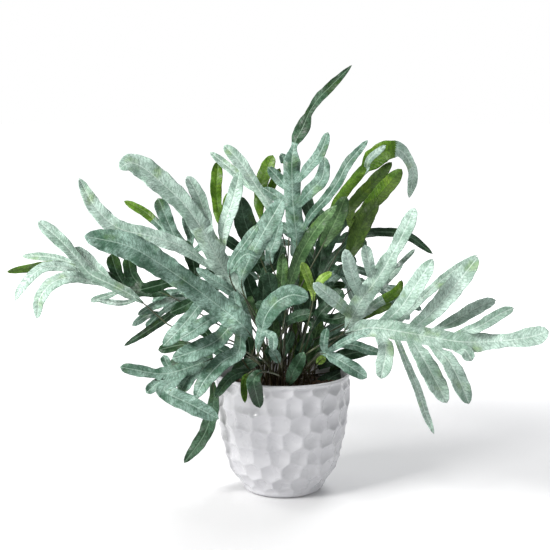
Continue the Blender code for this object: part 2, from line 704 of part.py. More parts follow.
grow("leaf_centre_yellow",
     [(18, 137, 36), (26, 167, 50)],
     [(30, 186, 56), (29, 199, 60), (24, 213, 66), (19, 225, 70)],
     width=9, lobes=(
         lobe([(30, 194, 58), (38, 207, 66), (49, 215, 70)], 8),
     ))
grow("frond_right_big",
     [(19, 127, 42), (39, 143, 54)],
     [(62, 153, 62), (87, 159, 70), (114, 156, 78), (147, 150, 88), (181, 145, 96), (217, 146, 102),
      (247, 150, 106), (266, 156, 108)],
     width=20, wing=18, outline=WAISTED_OUTLINE, lobes=(
         lobe([(102, 158, 75), (119, 181, 92), (135, 205, 102), (150, 228, 106)], 18),
         lobe([(108, 157, 76), (137, 187, 64), (165, 212, 54), (194, 232, 46)], 9),
         lobe([(129, 153, 83), (153, 179, 92), (175, 205, 92), (195, 230, 86)], 20),
         lobe([(151, 149, 89), (173, 167, 84), (195, 180, 78), (213, 187, 74)], 14),
         lobe([(172, 146, 94), (195, 160, 92), (217, 173, 88), (231, 179, 84)], 12),
         lobe([(129, 153, 83), (140, 129, 104), (153, 105, 114), (164, 84, 114)], 19),
         lobe([(151, 149, 89), (165, 127, 108), (177, 105, 118), (186, 83, 118)], 17),
         lobe([(172, 146, 94), (182, 137, 108), (189, 126, 114)], 13),
         lobe([(97, 159, 73), (103, 137, 92), (98, 108, 98)], 17),
         lobe([(115, 155, 78), (124, 123, 72), (135, 97, 64), (142, 75, 60), (151, 53, 58)], 8),
     ))
grow("frond_right_low",
     [(20, 117, 50), (29, 127, 64)],
     [(37, 134, 74), (52, 129, 84), (69, 119, 94), (84, 109, 98)],
     width=14, lobes=(
         lobe([(41, 133, 76), (63, 146, 96), (89, 158, 106)], 8),
         lobe([(37, 134, 74), (41, 146, 86), (44, 159, 92)], 9),
     ))
grow("leaf_right_low",
     [(25, 121, 36), (41, 135, 50)],
     [(54, 141, 56), (70, 142, 60), (86, 137, 62), (101, 133, 62)],
     width=10)
grow("frond_left_low",
     [(-21, 119, 46), (-37, 131, 62), (-55, 132, 72)],
     [(-71, 128, 80), (-87, 122, 86), (-105, 116, 92), (-121, 113, 96), (-142, 116, 100),
      (-163, 120, 102)],
     width=12, wing=14, lobes=(
         lobe([(-111, 115, 93), (-116, 123, 84), (-120, 132, 78)], 9),
         lobe([(-113, 115, 94), (-125, 104, 104), (-137, 94, 108)], 11),
         lobe([(-99, 117, 90), (-119, 97, 116), (-93, 83, 126), (-64, 68, 126)], 18),
         lobe([(-85, 123, 86), (-95, 109, 98), (-103, 95, 102)], 15),
     ))
grow("leaf_left_hanging",
     [(-43, 130, 16), (-57, 135, 22), (-67, 125, 26)],
     [(-70, 105, 28), (-69, 89, 30), (-72, 71, 32), (-80, 50, 34), (-99, 24, 36)],
     width=14)
grow("leaf_rim_left",
     [(-16, 116, 48)],
     [(-31, 115, 63), (-43, 114, 72), (-55, 107, 78), (-68, 89, 81)],
     width=11)
grow("leaf_rim_front",
     [(-5, 112, 55)],
     [(-21, 115, 68), (-29, 107, 76), (-27, 94, 79), (-23, 79, 79)],
     width=15)
grow("leaf_rim_yellow",
     [(-25, 117, 48)],
     [(-35, 113, 72), (-39, 104, 86), (-38, 84, 92)],
     width=7)
grow("leaf_rim_middle",
     [(-9, 113, 4)],
     [(-21, 125, 10), (-36, 123, 9), (-52, 114, 8)],
     width=13)
grow("leaf_soil_dark",
     [],
     [(5, 103, 50), (11, 116, 54), (17, 127, 56), (21, 135, 56)],
     width=14)
grow("leaf_soil_yellow",
     [(25, 107, 28), (31, 117, 34)],
     [(34, 123, 36), (38, 127, 38), (43, 130, 40)],
     width=8)
grow("leaf_low_1",
     [(-4, 118, 6)],
     [(-3, 128, 8), (1, 138, 10), (6, 147, 10), (9, 156, 8)],
     width=12)
grow("leaf_low_2",
     [(10, 118, 2)],
     [(13, 128, 2), (18, 138, 0), (24, 147, -2), (28, 155, -4)],
     width=12)
grow("leaf_low_3",
     [(-12, 116, 20)],
     [(-14, 125, 24), (-13, 134, 28), (-9, 143, 30)],
     width=11)
grow("leaf_low_4",
     [(26, 116, 12)],
     [(32, 125, 14), (40, 133, 14), (49, 139, 12)],
     width=12)
grow("leaf_low_5",
     [(2, 130, -14), (2, 150, -18)],
     [(0, 165, -20), (-5, 180, -22), (-12, 195, -24)],
     width=13)
grow("leaf_low_6",
     [(14, 130, -10), (20, 150, -16)],
     [(24, 166, -20), (27, 182, -24), (28, 198, -28)],
     width=13)
grow("leaf_low_7",
     [(-14, 132, -6), (-22, 152, -10)],
     [(-28, 168, -12), (-34, 184, -14), (-42, 198, -14)],
     width=13)
grow("leaf_low_8",
     [(32, 125, -10)],
     [(42, 138, -14), (54, 148, -18), (66, 154, -22)],
     width=12)
grow("leaf_low_9",
     [(-2, 116, 34)],
     [(-4, 124, 40), (-8, 132, 44), (-14, 138, 44)],
     width=10)
grow("frond_left_strap",
     [(-31, 145, -14), (-53, 172, -24), (-71, 187, -30)],
     [(-85, 189, -34), (-101, 180, -38), (-131, 159, -42), (-159, 141, -44)],
     width=8, tilt=1.0)
grow("frond_left_back",
     [(-19, 155, -42), (-45, 189, -62), (-69, 217, -78)],
     [(-84, 230, -86), (-98, 238, -90), (-110, 254, -96), (-118, 272, -102), (-125, 289, -106)],
     width=15, wing=12, lobes=(
         lobe([(-105, 246, -93), (-123, 261, -104), (-139, 275, -114), (-159, 286, -120)], 9),
         lobe([(-96, 237, -90), (-119, 244, -98), (-138, 256, -104)], 10),
         lobe([(-94, 235, -89), (-93, 252, -84), (-100, 271, -80)], 8),
         lobe([(-80, 227, -85), (-81, 244, -78), (-93, 261, -74)], 8),
     ))
grow("frond_left_inner",
     [(-19, 145, 14), (-30, 167, 20)],
     [(-40, 184, 24), (-51, 195, 26), (-68, 206, 28), (-87, 219, 28)],
     width=11)
grow("frond_centre_mint",
     [(-20, 140, 30), (-35, 167, 44), (-46, 193, 52)],
     [(-53, 210, 55), (-51, 225, 58), (-38, 244, 62), (-25, 262, 64)],
     width=10, lobes=(
         lobe([(-53, 215, 56), (-45, 226, 66), (-36, 233, 72), (-25, 229, 74)], 9),
     ))
grow("frond_left_shade",
     [(-27, 142, 6), (-45, 165, 10)],
     [(-59, 182, 12), (-77, 195, 14), (-97, 207, 16), (-117, 223, 16), (-136, 237, 14)],
     width=16, wing=14, lobes=(
         lobe([(-83, 198, 14), (-93, 184, 26), (-113, 174, 34)], 12),
         lobe([(-103, 211, 16), (-120, 203, 26), (-143, 197, 32)], 12),
         lobe([(-91, 204, 15), (-90, 225, 4), (-99, 247, -4)], 13),
         lobe([(-71, 190, 13), (-67, 211, 4), (-71, 231, -2)], 12),
     ))
grow("frond_left_under",
     [(-23, 123, 22), (-40, 137, 30)],
     [(-56, 144, 36), (-73, 142, 40), (-91, 135, 44), (-109, 120, 46), (-121, 101, 46)],
     width=15, wing=13, lobes=(
         lobe([(-69, 143, 39), (-81, 157, 32), (-101, 165, 28)], 12),
         lobe([(-87, 137, 43), (-103, 142, 38), (-125, 137, 36)], 11),
         lobe([(-76, 141, 41), (-76, 124, 52), (-84, 106, 56)], 13),
     ))
grow("frond_centre_dark",
     [(0, 123, 8), (2, 141, 12)],
     [(1, 157, 14), (-3, 176, 16), (-11, 195, 18), (-15, 215, 18)],
     width=15, wing=12, lobes=(
         lobe([(0, 161, 14), (15, 171, 22), (30, 174, 26)], 12),
         lobe([(-2, 172, 16), (-15, 180, 24), (-28, 183, 28)], 11),
         lobe([(-7, 186, 17), (5, 197, 10), (15, 211, 6)], 11),
     ))
grow("frond_centre_right",
     [(16, 122, 0), (23, 140, 2)],
     [(28, 156, 4), (36, 172, 6), (48, 185, 8), (60, 197, 8)],
     width=14, wing=12, lobes=(
         lobe([(30, 160, 4), (18, 174, 14), (13, 188, 18)], 11),
         lobe([(40, 177, 7), (39, 191, 0), (33, 204, -4)], 11),
         lobe([(36, 171, 6), (53, 168, 16), (69, 174, 20)], 12),
     ))
grow("frond_centre_back",
     [(-2, 155, -12), (-10, 185, -18)],
     [(-17, 205, -22), (-26, 225, -26), (-36, 247, -30), (-43, 271, -32)],
     width=14, wing=13, lobes=(
         lobe([(-21, 213, -23), (-7, 225, -32), (0, 242, -38)], 12),
         lobe([(-29, 231, -27), (-19, 247, -36), (-15, 265, -42)], 12),
         lobe([(-24, 220, -25), (-39, 219, -16), (-54, 225, -12)], 11),
         lobe([(-33, 239, -29), (-47, 241, -20), (-60, 250, -18)], 11),
     ))
grow("frond_right_inner",
     [(16, 155, -42), (25, 189, -58)],
     [(33, 216, -70), (42, 236, -80), (53, 257, -90), (68, 277, -98)],
     width=14, wing=13, lobes=(
         lobe([(36, 222, -73), (25, 239, -84), (21, 257, -92)], 12),
         lobe([(46, 243, -84), (39, 260, -96), (36, 279, -104)], 12),
         lobe([(38, 227, -75), (56, 231, -66), (74, 225, -62)], 12),
         lobe([(49, 249, -87), (68, 250, -80), (84, 241, -76)], 11),
     ))
for number, (bearing, reach, rise, droop) in enumerate(REAR_FRONDS):
    rear_frond(f"frond_rear_{number + 1}", bearing, reach, rise, droop)


def new_material(name, colour, roughness, metallic=0.0):
    material = bpy.data.materials.new(name)
    material.use_nodes = True
    shader = material.node_tree.nodes["Principled BSDF"]
    shader.inputs["Base Color"].default_value = (*colour, 1.0)
    shader.inputs["Roughness"].default_value = roughness
    shader.inputs["Metallic"].default_value = metallic
    return material


def new_object(name, bm, collection, material):
    mesh = bpy.data.meshes.new(name)
    bm.to_mesh(mesh)
    bm.free()
    made = bpy.data.objects.new(name, mesh)
    mesh.materials.append(material)
    collection.objects.link(made)
    return made


def apply_modifiers(made):
    """Replaces an object's mesh by the mesh that its modifiers make of it."""
    seen_as = made.evaluated_get(bpy.context.evaluated_depsgraph_get())
    mesh = bpy.data.meshes.new_from_object(seen_as)
    made.modifiers.clear()
    made.data = mesh


def stalk_tube(stalk, collection, material):
    """The stalk as a slim tube that ends a little way up the blade's rib."""
    steps = max(3, round(stalk.base * stalk.length / STALK_STEP))
    foot = (HOLE_DEPTH / MM + 0.5) / stalk.length
    shares = np.concatenate([[0.0, foot], np.linspace(foot, stalk.base, steps + 1)[1:], [first_row(stalk)]])
    line = seen(stalk.place(shares, np.zeros(len(shares))))
    line[-1] = (1.0 - RIB_OVERLAP) * line[-2] + RIB_OVERLAP * line[-1]
    line[1, :2] = line[0, :2]
    curve = bpy.data.curves.new(stalk.name + "_stalk", "CURVE")
    curve.dimensions = "3D"
    curve.bevel_depth = STALK_RADIUS * MM
    curve.bevel_resolution = 1
    curve.use_fill_caps = True
    spline = curve.splines.new("POLY")
    spline.points.add(len(line) - 1)
    for point, spot in zip(spline.points, line):
        point.co = (*spot, 1.0)
    tube = bpy.data.objects.new(stalk.name + "_stalk", curve)
    collection.objects.link(tube)
    mesh = bpy.data.meshes.new_from_object(tube.evaluated_get(bpy.context.evaluated_depsgraph_get()))
    bpy.data.objects.remove(tube)
    bm = bmesh.new()
    bm.from_mesh(mesh)
    bmesh.ops.remove_doubles(bm, verts=bm.verts, dist=1e-6)
    bmesh.ops.recalc_face_normals(bm, faces=bm.faces)
    return new_object(stalk.name + "_tube", bm, collection, material)


def frond_object(stalk, collection, tools, material):
    """One frond: its blade as a thin shell, joined with its stalk."""
    spots, faces = blade_sheet(stalk)
    bm = bmesh.new()
    corners = [bm.verts.new(spot) for spot in seen(spots)]
    for face in faces:
        bm.faces.new([corners[k] for k in face])
    bmesh.ops.recalc_face_normals(bm, faces=bm.faces)
    made = new_object(stalk.name, bm, collection, material)
    shell = made.modifiers.new("thickness", "SOLIDIFY")
    shell.thickness = BLADE * MM
    shell.offset = 0.0
    apply_modifiers(made)
    tube = stalk_tube(stalk, tools, material)
    blade = made.data
    for solver, own_crossings in UNION_WAYS:
        made.data = blade.copy()
        join = made.modifiers.new("stalk", "BOOLEAN")
        join.operation = "UNION"
        join.solver = solver
        join.use_self = own_crossings
        join.object = tube
        apply_modifiers(made)
        drop_scraps(made.data)
        if len(made.data.polygons) > len(blade.polygons) and is_closed(made.data):
            break
    bpy.data.objects.remove(tube)
    return made


def is_closed(mesh):
    """True where every edge of a mesh lies between exactly two faces."""
    counts = {}
    for face in mesh.polygons:
        for key in face.edge_keys:
            counts[key] = counts.get(key, 0) + 1
    return all(count == 2 for count in counts.values())


def drop_scraps(mesh):
    """Leaves only the largest body of a mesh: slivers, flaps and sealed pockets go."""
    bm = bmesh.new()
    bm.from_mesh(mesh)
    left = set(bm.faces)
    bodies = []
    while left:
        body = [left.pop()]
        for face in body:
            for edge in face.edges:
                if len(edge.link_faces) != 2:
                    continue
                for other in edge.link_faces:
                    if other in left:
                        left.remove(other)
                        body.append(other)
        bodies.append(body)
    bodies.sort(key=len)
    for body in bodies[:-1]:
        bmesh.ops.delete(bm, geom=body, context="FACES")
    bm.to_mesh(mesh)
    bm.free()


def outer_radius(height):
    heights, radii = zip(*POT_PROFILE)
    return float(np.interp(height, heights, radii))


def inner_radius(height):
    """The pot's inside, which runs straight between the heights of its rings."""
    heights = sorted(INSIDE_HEIGHTS)
    radii = [outer_radius(each) - POT_WALL for each in heights]
    return float(np.interp(height, heights, radii))


def ring(bm, height, radius, steps, turn=0.0):
    made = []
    for k in range(steps):
        angle = 2 * math.pi * (k + turn) / steps
        made.append(bm.verts.new((radius * math.cos(angle), radius * math.sin(angle), height)))
    return made


def bridge(bm, one, two):
    """Triangles between two rings of vertices, taken in the order of their angles."""
    def keyed(row):
        start = min(range(len(row)), key=lambda k: angle_of(row[k]))
        turned = row[start:] + row[:start]
        keys = [angle_of(vert) for vert in turned]
        return list(zip(keys + [keys[0] + 2 * math.pi], turned + [turned[0]]))
    faces = []
    zip_rows(keyed(one), keyed(two), faces)
    return [bm.faces.new(face) for face in faces]


def angle_of(vert):
    return math.atan2(vert.co.y, vert.co.x) % (2 * math.pi)


def moved(spot, inward):
    """A point pushed towards the pot's axis."""
    size = math.hypot(spot[0], spot[1])
    share = (size - inward) / size
    return (spot[0] * share, spot[1] * share, spot[2])


def on_wall(spot):
    """A point of the relief set on the pot's outer profile at its own height."""
    size = math.hypot(spot[0], spot[1])
    share = outer_radius(spot[2]) / size
    return (spot[0] * share, spot[1] * share, spot[2])


def honeycomb(bm):
    """The relief: rings of dimpled cells whose shared corners stand out as ridges.

    The cells' middles are joined into triangles ring by ring, each triangle's middle is a
    corner where three ridges meet, and each cell is the fan of triangles round its middle.
    """
    plan = bmesh.new()
    top = POT_HEIGHT - LIP_BAND
    rows = [(RELIEF_FOOT, CELL_ROWS[0][1])] + list(CELL_ROWS) + [(top, CELL_ROWS[-1][1])]
    rings = []
    for k, (height, count) in enumerate(rows):
        turn = 0.5 * (k % 2) + 0.08 * math.sin(2.3 * k)
        rings.append(ring(plan, height, outer_radius(height), count, turn))
    for low, high in zip(rings, rings[1:]):
        bridge(plan, low, high)
    plan.verts.index_update()
    plan.faces.index_update()
    low_ring = {vert.index for vert in rings[0]}
    high_ring = {vert.index for vert in rings[-1]}
    middles = {}
    for vert in plan.verts:
        depth = DIMPLE
        if vert.index in low_ring:
            depth = 0.0
        elif vert.index in high_ring:
            depth = RIM_DIMPLE
        middles[vert.index] = bm.verts.new(moved(vert.co, depth))
    corners = {}
    for face in plan.faces:
        corners[face.index] = bm.verts.new(on_wall(face.calc_center_median()))
    edges = {"low": [], "high": []}
    for edge in plan.edges:
        one, two = (middles[vert.index] for vert in edge.verts)
        ridge = [corners[face.index] for face in edge.link_faces]
        if len(ridge) == 2:
            bm.faces.new((one, ridge[0], ridge[1]))
            bm.faces.new((two, ridge[0], ridge[1]))
            continue
        half = bm.verts.new(on_wall((edge.verts[0].co + edge.verts[1].co) / 2))
        bm.faces.new((one, half, ridge[0]))
        bm.faces.new((half, two, ridge[0]))
        name = "low" if edge.verts[0].index in low_ring else "high"
        edges[name].extend([one, half])
    plan.free()
    for name, row in edges.items():
        edges[name] = sorted(set(row), key=angle_of)
    return edges["low"], edges["high"]


def pot_object(collection, material):
    """The pot: honeycomb outside, smooth lip, plain inside and a flat base."""
    bm = bmesh.new()
    low, high = honeycomb(bm)
    steps = INNER_STEPS
    lip = POT_HEIGHT
    outside = [ring(bm, lip - LIP_BAND + 0.0006, outer_radius(lip), steps * 2),
               ring(bm, lip - LIP_ROUND, outer_radius(lip), steps * 2)]
    inside = [ring(bm, lip, outer_radius(lip) - LIP_ROUND, steps * 2),
              ring(bm, lip, outer_radius(lip) - LIP_FLAT, steps * 2)]
    for height in INSIDE_HEIGHTS:
        inside.append(ring(bm, height, inner_radius(height), steps))
    inside.append(ring(bm, POT_FLOOR, inner_radius(POT_FLOOR) - FLOOR_ROUND, steps))
    rows = [high] + outside + inside
    for one, two in zip(rows, rows[1:]):
        bridge(bm, one, two)
    base = ring(bm, 0.0, POT_PROFILE[0][1], steps)
    bridge(bm, low, base)
    bm.faces.new(base)
    bm.faces.new(inside[-1])
    bmesh.ops.recalc_face_normals(bm, faces=bm.faces)
    bmesh.ops.triangulate(bm, faces=bm.faces)
    return new_object("pot", bm, collection, material)


def soil_object(stalks, collection, tools, material):
    """The soil that fills the pot, with a plain hole for each stalk."""
    bm = bmesh.new()
    rows = [ring(bm, POT_FLOOR + SOIL_GAP, inner_radius(POT_FLOOR) - FLOOR_ROUND - SOIL_GAP, INNER_STEPS)]
    for height in sorted(INSIDE_HEIGHTS)[:-1] + [SOIL_TOP]:
        rows.append(ring(bm, height, inner_radius(height) - SOIL_GAP, INNER_STEPS))
    for one, two in zip(rows, rows[1:]):
        bridge(bm, one, two)
    bm.faces.new(rows[0])
    bm.faces.new(rows[-1])
    bmesh.ops.recalc_face_normals(bm, faces=bm.faces)
    made = new_object("soil", bm, collection, material)
    holes = bmesh.new()
    hole = STALK_RADIUS * MM / math.cos(math.pi / HOLE_SIDES) + HOLE_PLAY
    for stalk in stalks:
        foot = stalk.foot()
        drill = bmesh.ops.create_cone(holes, cap_ends=True, segments=HOLE_SIDES, depth=HOLE_DEPTH * 2,
                                      radius1=hole, radius2=hole)
        bmesh.ops.translate(holes, verts=drill["verts"], vec=(foot[0], foot[1], SOIL_TOP))
    cutter = new_object("soil_holes", holes, tools, material)
    cutter.hide_render = True
    cutter.display_type = "WIRE"
    cut = made.modifiers.new("holes", "BOOLEAN")
    cut.operation = "DIFFERENCE"
    cut.object = cutter
    apply_modifiers(made)
    bpy.data.objects.remove(cutter)
    return made


def main():
    for old in list(bpy.data.objects):
        bpy.data.objects.remove(old)
    parts = bpy.data.collections.new("blue_star_fern")
    tools = bpy.data.collections.new("cutters")
    bpy.context.scene.collection.children.link(parts)
    bpy.context.scene.collection.children.link(tools)
    stalks = plant()
    pot_object(parts, new_material("white_glaze", (0.80, 0.79, 0.81), 0.28))
    soil_object(stalks, parts, tools, new_material("dark_soil", (0.035, 0.022, 0.014), 0.95))
    for number, stalk in enumerate(stalks):
        shade = 0.85 + 0.3 * ((number * 7) % 5) / 4
        colour = (0.16 * shade, 0.30 * shade, 0.24 * shade)
        frond_object(stalk, parts, tools, new_material(stalk.name + "_green", colour, 0.5))


main()
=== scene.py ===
"""Looks of the blue star fern in its white honeycomb pot.

The fronds, the pot and the soil are made again here, finer, from the same sizes as the frame's
solids, and each takes the place of its solid. Fronds are laid out in millimetres across, up and
in front of the pot's axis, as the camera sees them, and seen() turns that into metres.
"""

import json
import math
import random

import bmesh
import bpy
import numpy as np
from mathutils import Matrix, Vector, kdtree

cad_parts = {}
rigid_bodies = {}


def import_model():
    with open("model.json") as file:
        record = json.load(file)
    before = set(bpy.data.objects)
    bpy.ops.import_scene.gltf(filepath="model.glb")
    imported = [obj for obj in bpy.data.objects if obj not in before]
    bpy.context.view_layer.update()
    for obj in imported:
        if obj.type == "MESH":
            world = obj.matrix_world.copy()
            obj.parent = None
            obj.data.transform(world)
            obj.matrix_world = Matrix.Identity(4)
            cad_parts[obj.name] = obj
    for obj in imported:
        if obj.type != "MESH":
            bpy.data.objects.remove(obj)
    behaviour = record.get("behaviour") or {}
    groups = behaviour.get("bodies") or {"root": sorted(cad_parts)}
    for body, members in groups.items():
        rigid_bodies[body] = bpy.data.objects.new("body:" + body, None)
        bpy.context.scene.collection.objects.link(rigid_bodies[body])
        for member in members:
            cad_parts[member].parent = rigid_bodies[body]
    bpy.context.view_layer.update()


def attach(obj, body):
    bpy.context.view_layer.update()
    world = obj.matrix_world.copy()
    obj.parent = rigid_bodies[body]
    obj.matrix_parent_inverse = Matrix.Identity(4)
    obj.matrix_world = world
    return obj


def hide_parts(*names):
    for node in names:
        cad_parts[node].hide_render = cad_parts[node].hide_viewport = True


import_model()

MM = 0.001

# Fine leaf: how close its rows lie, where its columns lie, and how its edge frills, in millimetres
FINE_STEP = 2.6
FINE_COLUMNS = (-1.0, -0.86, -0.62, -0.36, -0.12, 0.0, 0.12, 0.36, 0.62, 0.86, 1.0)
LEAF_THICKNESS = 0.45
FRILL_DEPTH = 0.45
FRILL_LENGTH = 19.0
SCALLOP = 0.035
SCALLOP_LENGTH = 21.0
RIB_GROOVE = 0.28
FOLD = 0.2
TWIST = 0.12
TWIST_LENGTH = 60.0
STALK_TIP_RADIUS = 0.6
STALK_REACH = 12.0
UV_SCALE = 0.01
PATCH_FACE = 2

# Fine pot
POT_STEPS = 360
POT_ROWS = 150
CELL_DEPTH = 0.0038
CELL_REACH = 0.0112
CELL_ROUND = 0.00035

# Light that the white room gives, and the soft lamps: name, place, size, power and colour
ROOM_LIGHT = 0.34
LIGHTS = (("key", (-1.45, -1.15, 1.45), 0.8, 72.0, (1.0, 0.99, 0.97)),
          ("rear", (0.5, 1.2, 1.6), 0.9, 24.0, (1.0, 1.0, 1.0)))
LIT_MIDDLE = Vector((0.0, 0.0, 0.22))
FLOOR_GREY = (0.70, 0.70, 0.71, 1.0)

# The picture's width, where the pot's axis and foot lie in it, and how far back small leaves lie
PICTURE_WIDTH = 550.0
PICTURE_MIDDLE = 283.0
PICTURE_FOOT = 487.0
INFILL_DEPTH = -14.0

# Soil crumbs
CRUMBS = 900
CRUMB_SEED = 11

# The eye that the fronds are laid out for: its distance, its downward tilt and where it stands
EYE_DISTANCE = 1300.0
EYE_TILT = math.radians(8.0)
EYE = np.array([-8.2, -1287.35, 400.0])
PICTURE_ACROSS = -8.0
PICTURE_UP = 212.0

# Pot: outer profile as height and radius, in metres
POT_HEIGHT = 0.1206
POT_PROFILE = ((0.0, 0.036), (0.004, 0.0412), (0.0115, 0.0472), (0.023, 0.054), (0.033, 0.058),
               (0.045, 0.0605), (0.064, 0.0645), (0.090, 0.0675), (0.1206, 0.0675))
POT_WALL = 0.0045
POT_FLOOR = 0.006
LIP_BAND = 0.0035
CELL_ROWS = ((0.016, 17), (0.0305, 18), (0.0465, 21), (0.0635, 22), (0.081, 22), (0.099, 22))
RELIEF_FOOT = 0.006
INSIDE_HEIGHTS = (0.1186, 0.064, 0.033, 0.010)

# Soil
SOIL_TOP = 0.106
SOIL_GAP = 0.0004
HOLE_DEPTH = 0.008
HOLE_PLAY = 0.0004

# Fronds, in millimetres
BLADE = 0.8
STALK_RADIUS = 1.1
ROOT_REACH = 0.42
ROOT_LIMIT = 47.0
ROOT_SPACING = 7.0
LATEST_END = 0.93
CLEAR = 3.5
NEAR = 4.6
WING_GROWTH = 18.0
SAMPLE_ALONG = 5.0
SAMPLE_ACROSS = 4.0
ROUNDS = 600
EASE = 0.999
SETTLED = 0.3
MOST_BEND = 45.0

# Fronds of the far side: heading in degrees from +X, reach, rise and droop in metres
REAR_FRONDS = ((62, 0.175, 0.110, 0.050), (86, 0.205, 0.150, 0.045), (108, 0.190, 0.115, 0.050),
               (130, 0.195, 0.104, 0.050), (152, 0.165, 0.085, 0.040), (36, 0.170, 0.095, 0.045))
REAR_LOBES = (0.56, 0.60, 0.70, 0.75, 0.84, 0.88)
REAR_LENGTHS = (0.050, 0.046, 0.034)
REAR_WING = 5.0
REAR_LEAN = 1.2

# Half width of a lobe and of a whole blade, from root to tip, as a share of its widest
LOBE_OUTLINE = ((0.0, 0.84), (0.15, 0.8), (0.32, 0.9), (0.52, 1.0), (0.74, 0.97), (0.88, 0.78), (0.96, 0.46),
                (1.0, 0.06))
BLADE_OUTLINE = ((0.0, 0.3), (0.12, 0.6), (0.3, 0.92), (0.5, 1.0), (0.72, 0.94), (0.88, 0.68), (0.96, 0.38),
                 (1.0, 0.06))

# The same for two end lobes of their own shape: one twisted and narrow, one with a waist
TWISTED_OUTLINE = ((0.0, 0.35), (0.14, 0.38), (0.2, 0.75), (0.27, 1.0), (0.34, 0.9), (0.42, 0.5), (0.5, 0.5),
                   (0.62, 0.66), (0.78, 0.6), (0.92, 0.33), (1.0, 0.05))
WAISTED_OUTLINE = ((0.0, 1.0), (0.15, 0.98), (0.35, 0.75), (0.5, 0.66), (0.62, 0.8), (0.78, 1.0), (0.9, 0.88),
                   (0.97, 0.5), (1.0, 0.1))

OUTLINES = dict(lobed=LOBE_OUTLINE, plain=BLADE_OUTLINE, twisted=TWISTED_OUTLINE, waisted=WAISTED_OUTLINE)

FRONDS = []


def seen(points):
    """Metres in space for points given as millimetres across, up and in front of the pot's axis."""
    points = np.atleast_2d(np.asarray(points, float))
    a = (points[:, 0] - PICTURE_ACROSS) / EYE_DISTANCE
    b = (points[:, 1] - PICTURE_UP) / EYE_DISTANCE
    sin, cos = math.sin(EYE_TILT), math.cos(EYE_TILT)
    reach = (-EYE[1] - points[:, 2]) / (cos + b * sin)
    spot = np.column_stack([EYE[0] + a * reach, -points[:, 2], EYE[2] + reach * (b * cos - sin)])
    return spot * MM


def across_up_front(spot):
    """The same three millimetres for a point in space in metres."""
    x, y, z = np.asarray(spot, float) / MM - EYE
    sin, cos = math.sin(EYE_TILT), math.cos(EYE_TILT)
    depth = y * cos - z * sin
    rise = y * sin + z * cos
    return (PICTURE_ACROSS + EYE_DISTANCE * x / depth, PICTURE_UP + EYE_DISTANCE * rise / depth,
            -(y + EYE[1]))


def smooth_line(points):
    """A close row of points on the smooth curve through a few points."""
    points = np.asarray(points, float)
    ends = np.vstack([2 * points[0] - points[1], points, 2 * points[-1] - points[-2]])
    rows = []
    for k in range(len(points) - 1):
        p0, p1, p2, p3 = ends[k:k + 4]
        t = np.linspace(0.0, 1.0, 10, endpoint=False)[:, None]
        rows.append(0.5 * (2 * p1 + (p2 - p0) * t + (2 * p0 - 5 * p1 + 4 * p2 - p3) * t ** 2
                           + (3 * p1 - p0 - 3 * p2 + p3) * t ** 3))
    return np.vstack(rows + [points[-1:]])


class Ribbon:
    """A strip on a curved centre line: a stalk with its blade, or one lobe of a blade."""

    def __init__(self, name, points, tilt, knots, parent=None):
        self.name = name
        self.parent = parent
        self.tilt = tilt
        self.line = smooth_line(points)
        steps = np.linalg.norm(np.diff(self.line, axis=0), axis=1)
        self.run = np.concatenate([[0.0], np.cumsum(steps)])
        self.length = self.run[-1]
        self.knots = knots
        self.shift = np.zeros(knots + 1)
        self.root = 0.0

    def middle(self, t):
        """The centre line at shares t of its length, before it is bent clear."""
        where = np.clip(t, 0.0, 1.0) * self.length
        return np.column_stack([np.interp(where, self.run, self.line[:, k]) for k in range(3)])

    def heading(self, t):
        """The direction of the centre line as it is seen, a unit vector across and up."""
        step = 2.0 / self.length
        way = (self.middle(t + step) - self.middle(t - step))[:, :2]
        return way / np.maximum(np.linalg.norm(way, axis=1), 1e-6)[:, None]

    def bells(self, t):
        """How much each knot's shift counts at shares t: smooth weights that add up to one."""
        gap = np.abs(np.asarray(t)[:, None] * self.knots - np.arange(self.knots + 1)[None, :])
        return 0.5 + 0.5 * np.cos(math.pi * np.clip(gap, 0.0, 1.0))

    def bent(self, t):
        """The shift towards the eye at shares t."""
        shift = self.shift.copy()
        if self.parent is not None:
            shift[0] = self.parent.bent(np.array([self.root]))[0]
        return self.bells(np.asarray(t, float)) @ shift

    def place(self, t, v):
        """Points at share t of the length and share v of the half width, from -1 to 1."""
        t = np.asarray(t, float)
        half = self.half(t)
        side = self.sideways(t)
        spot = self.middle(t)
        spot[:, :2] += side * (half * v)[:, None]
        upward = np.sign(side[:, 1]) * np.minimum(np.abs(side[:, 1]) * 3.0, 1.0)
        lean = upward + 0.35 * np.sign(side[:, 0]) * (1.0 - np.abs(upward))
        spot[:, 2] -= lean * half * v * self.tilt * self.spread(t)
        spot[:, 2] += self.ripple(t, v)
        spot[:, 2] += self.bent(t)
        return spot


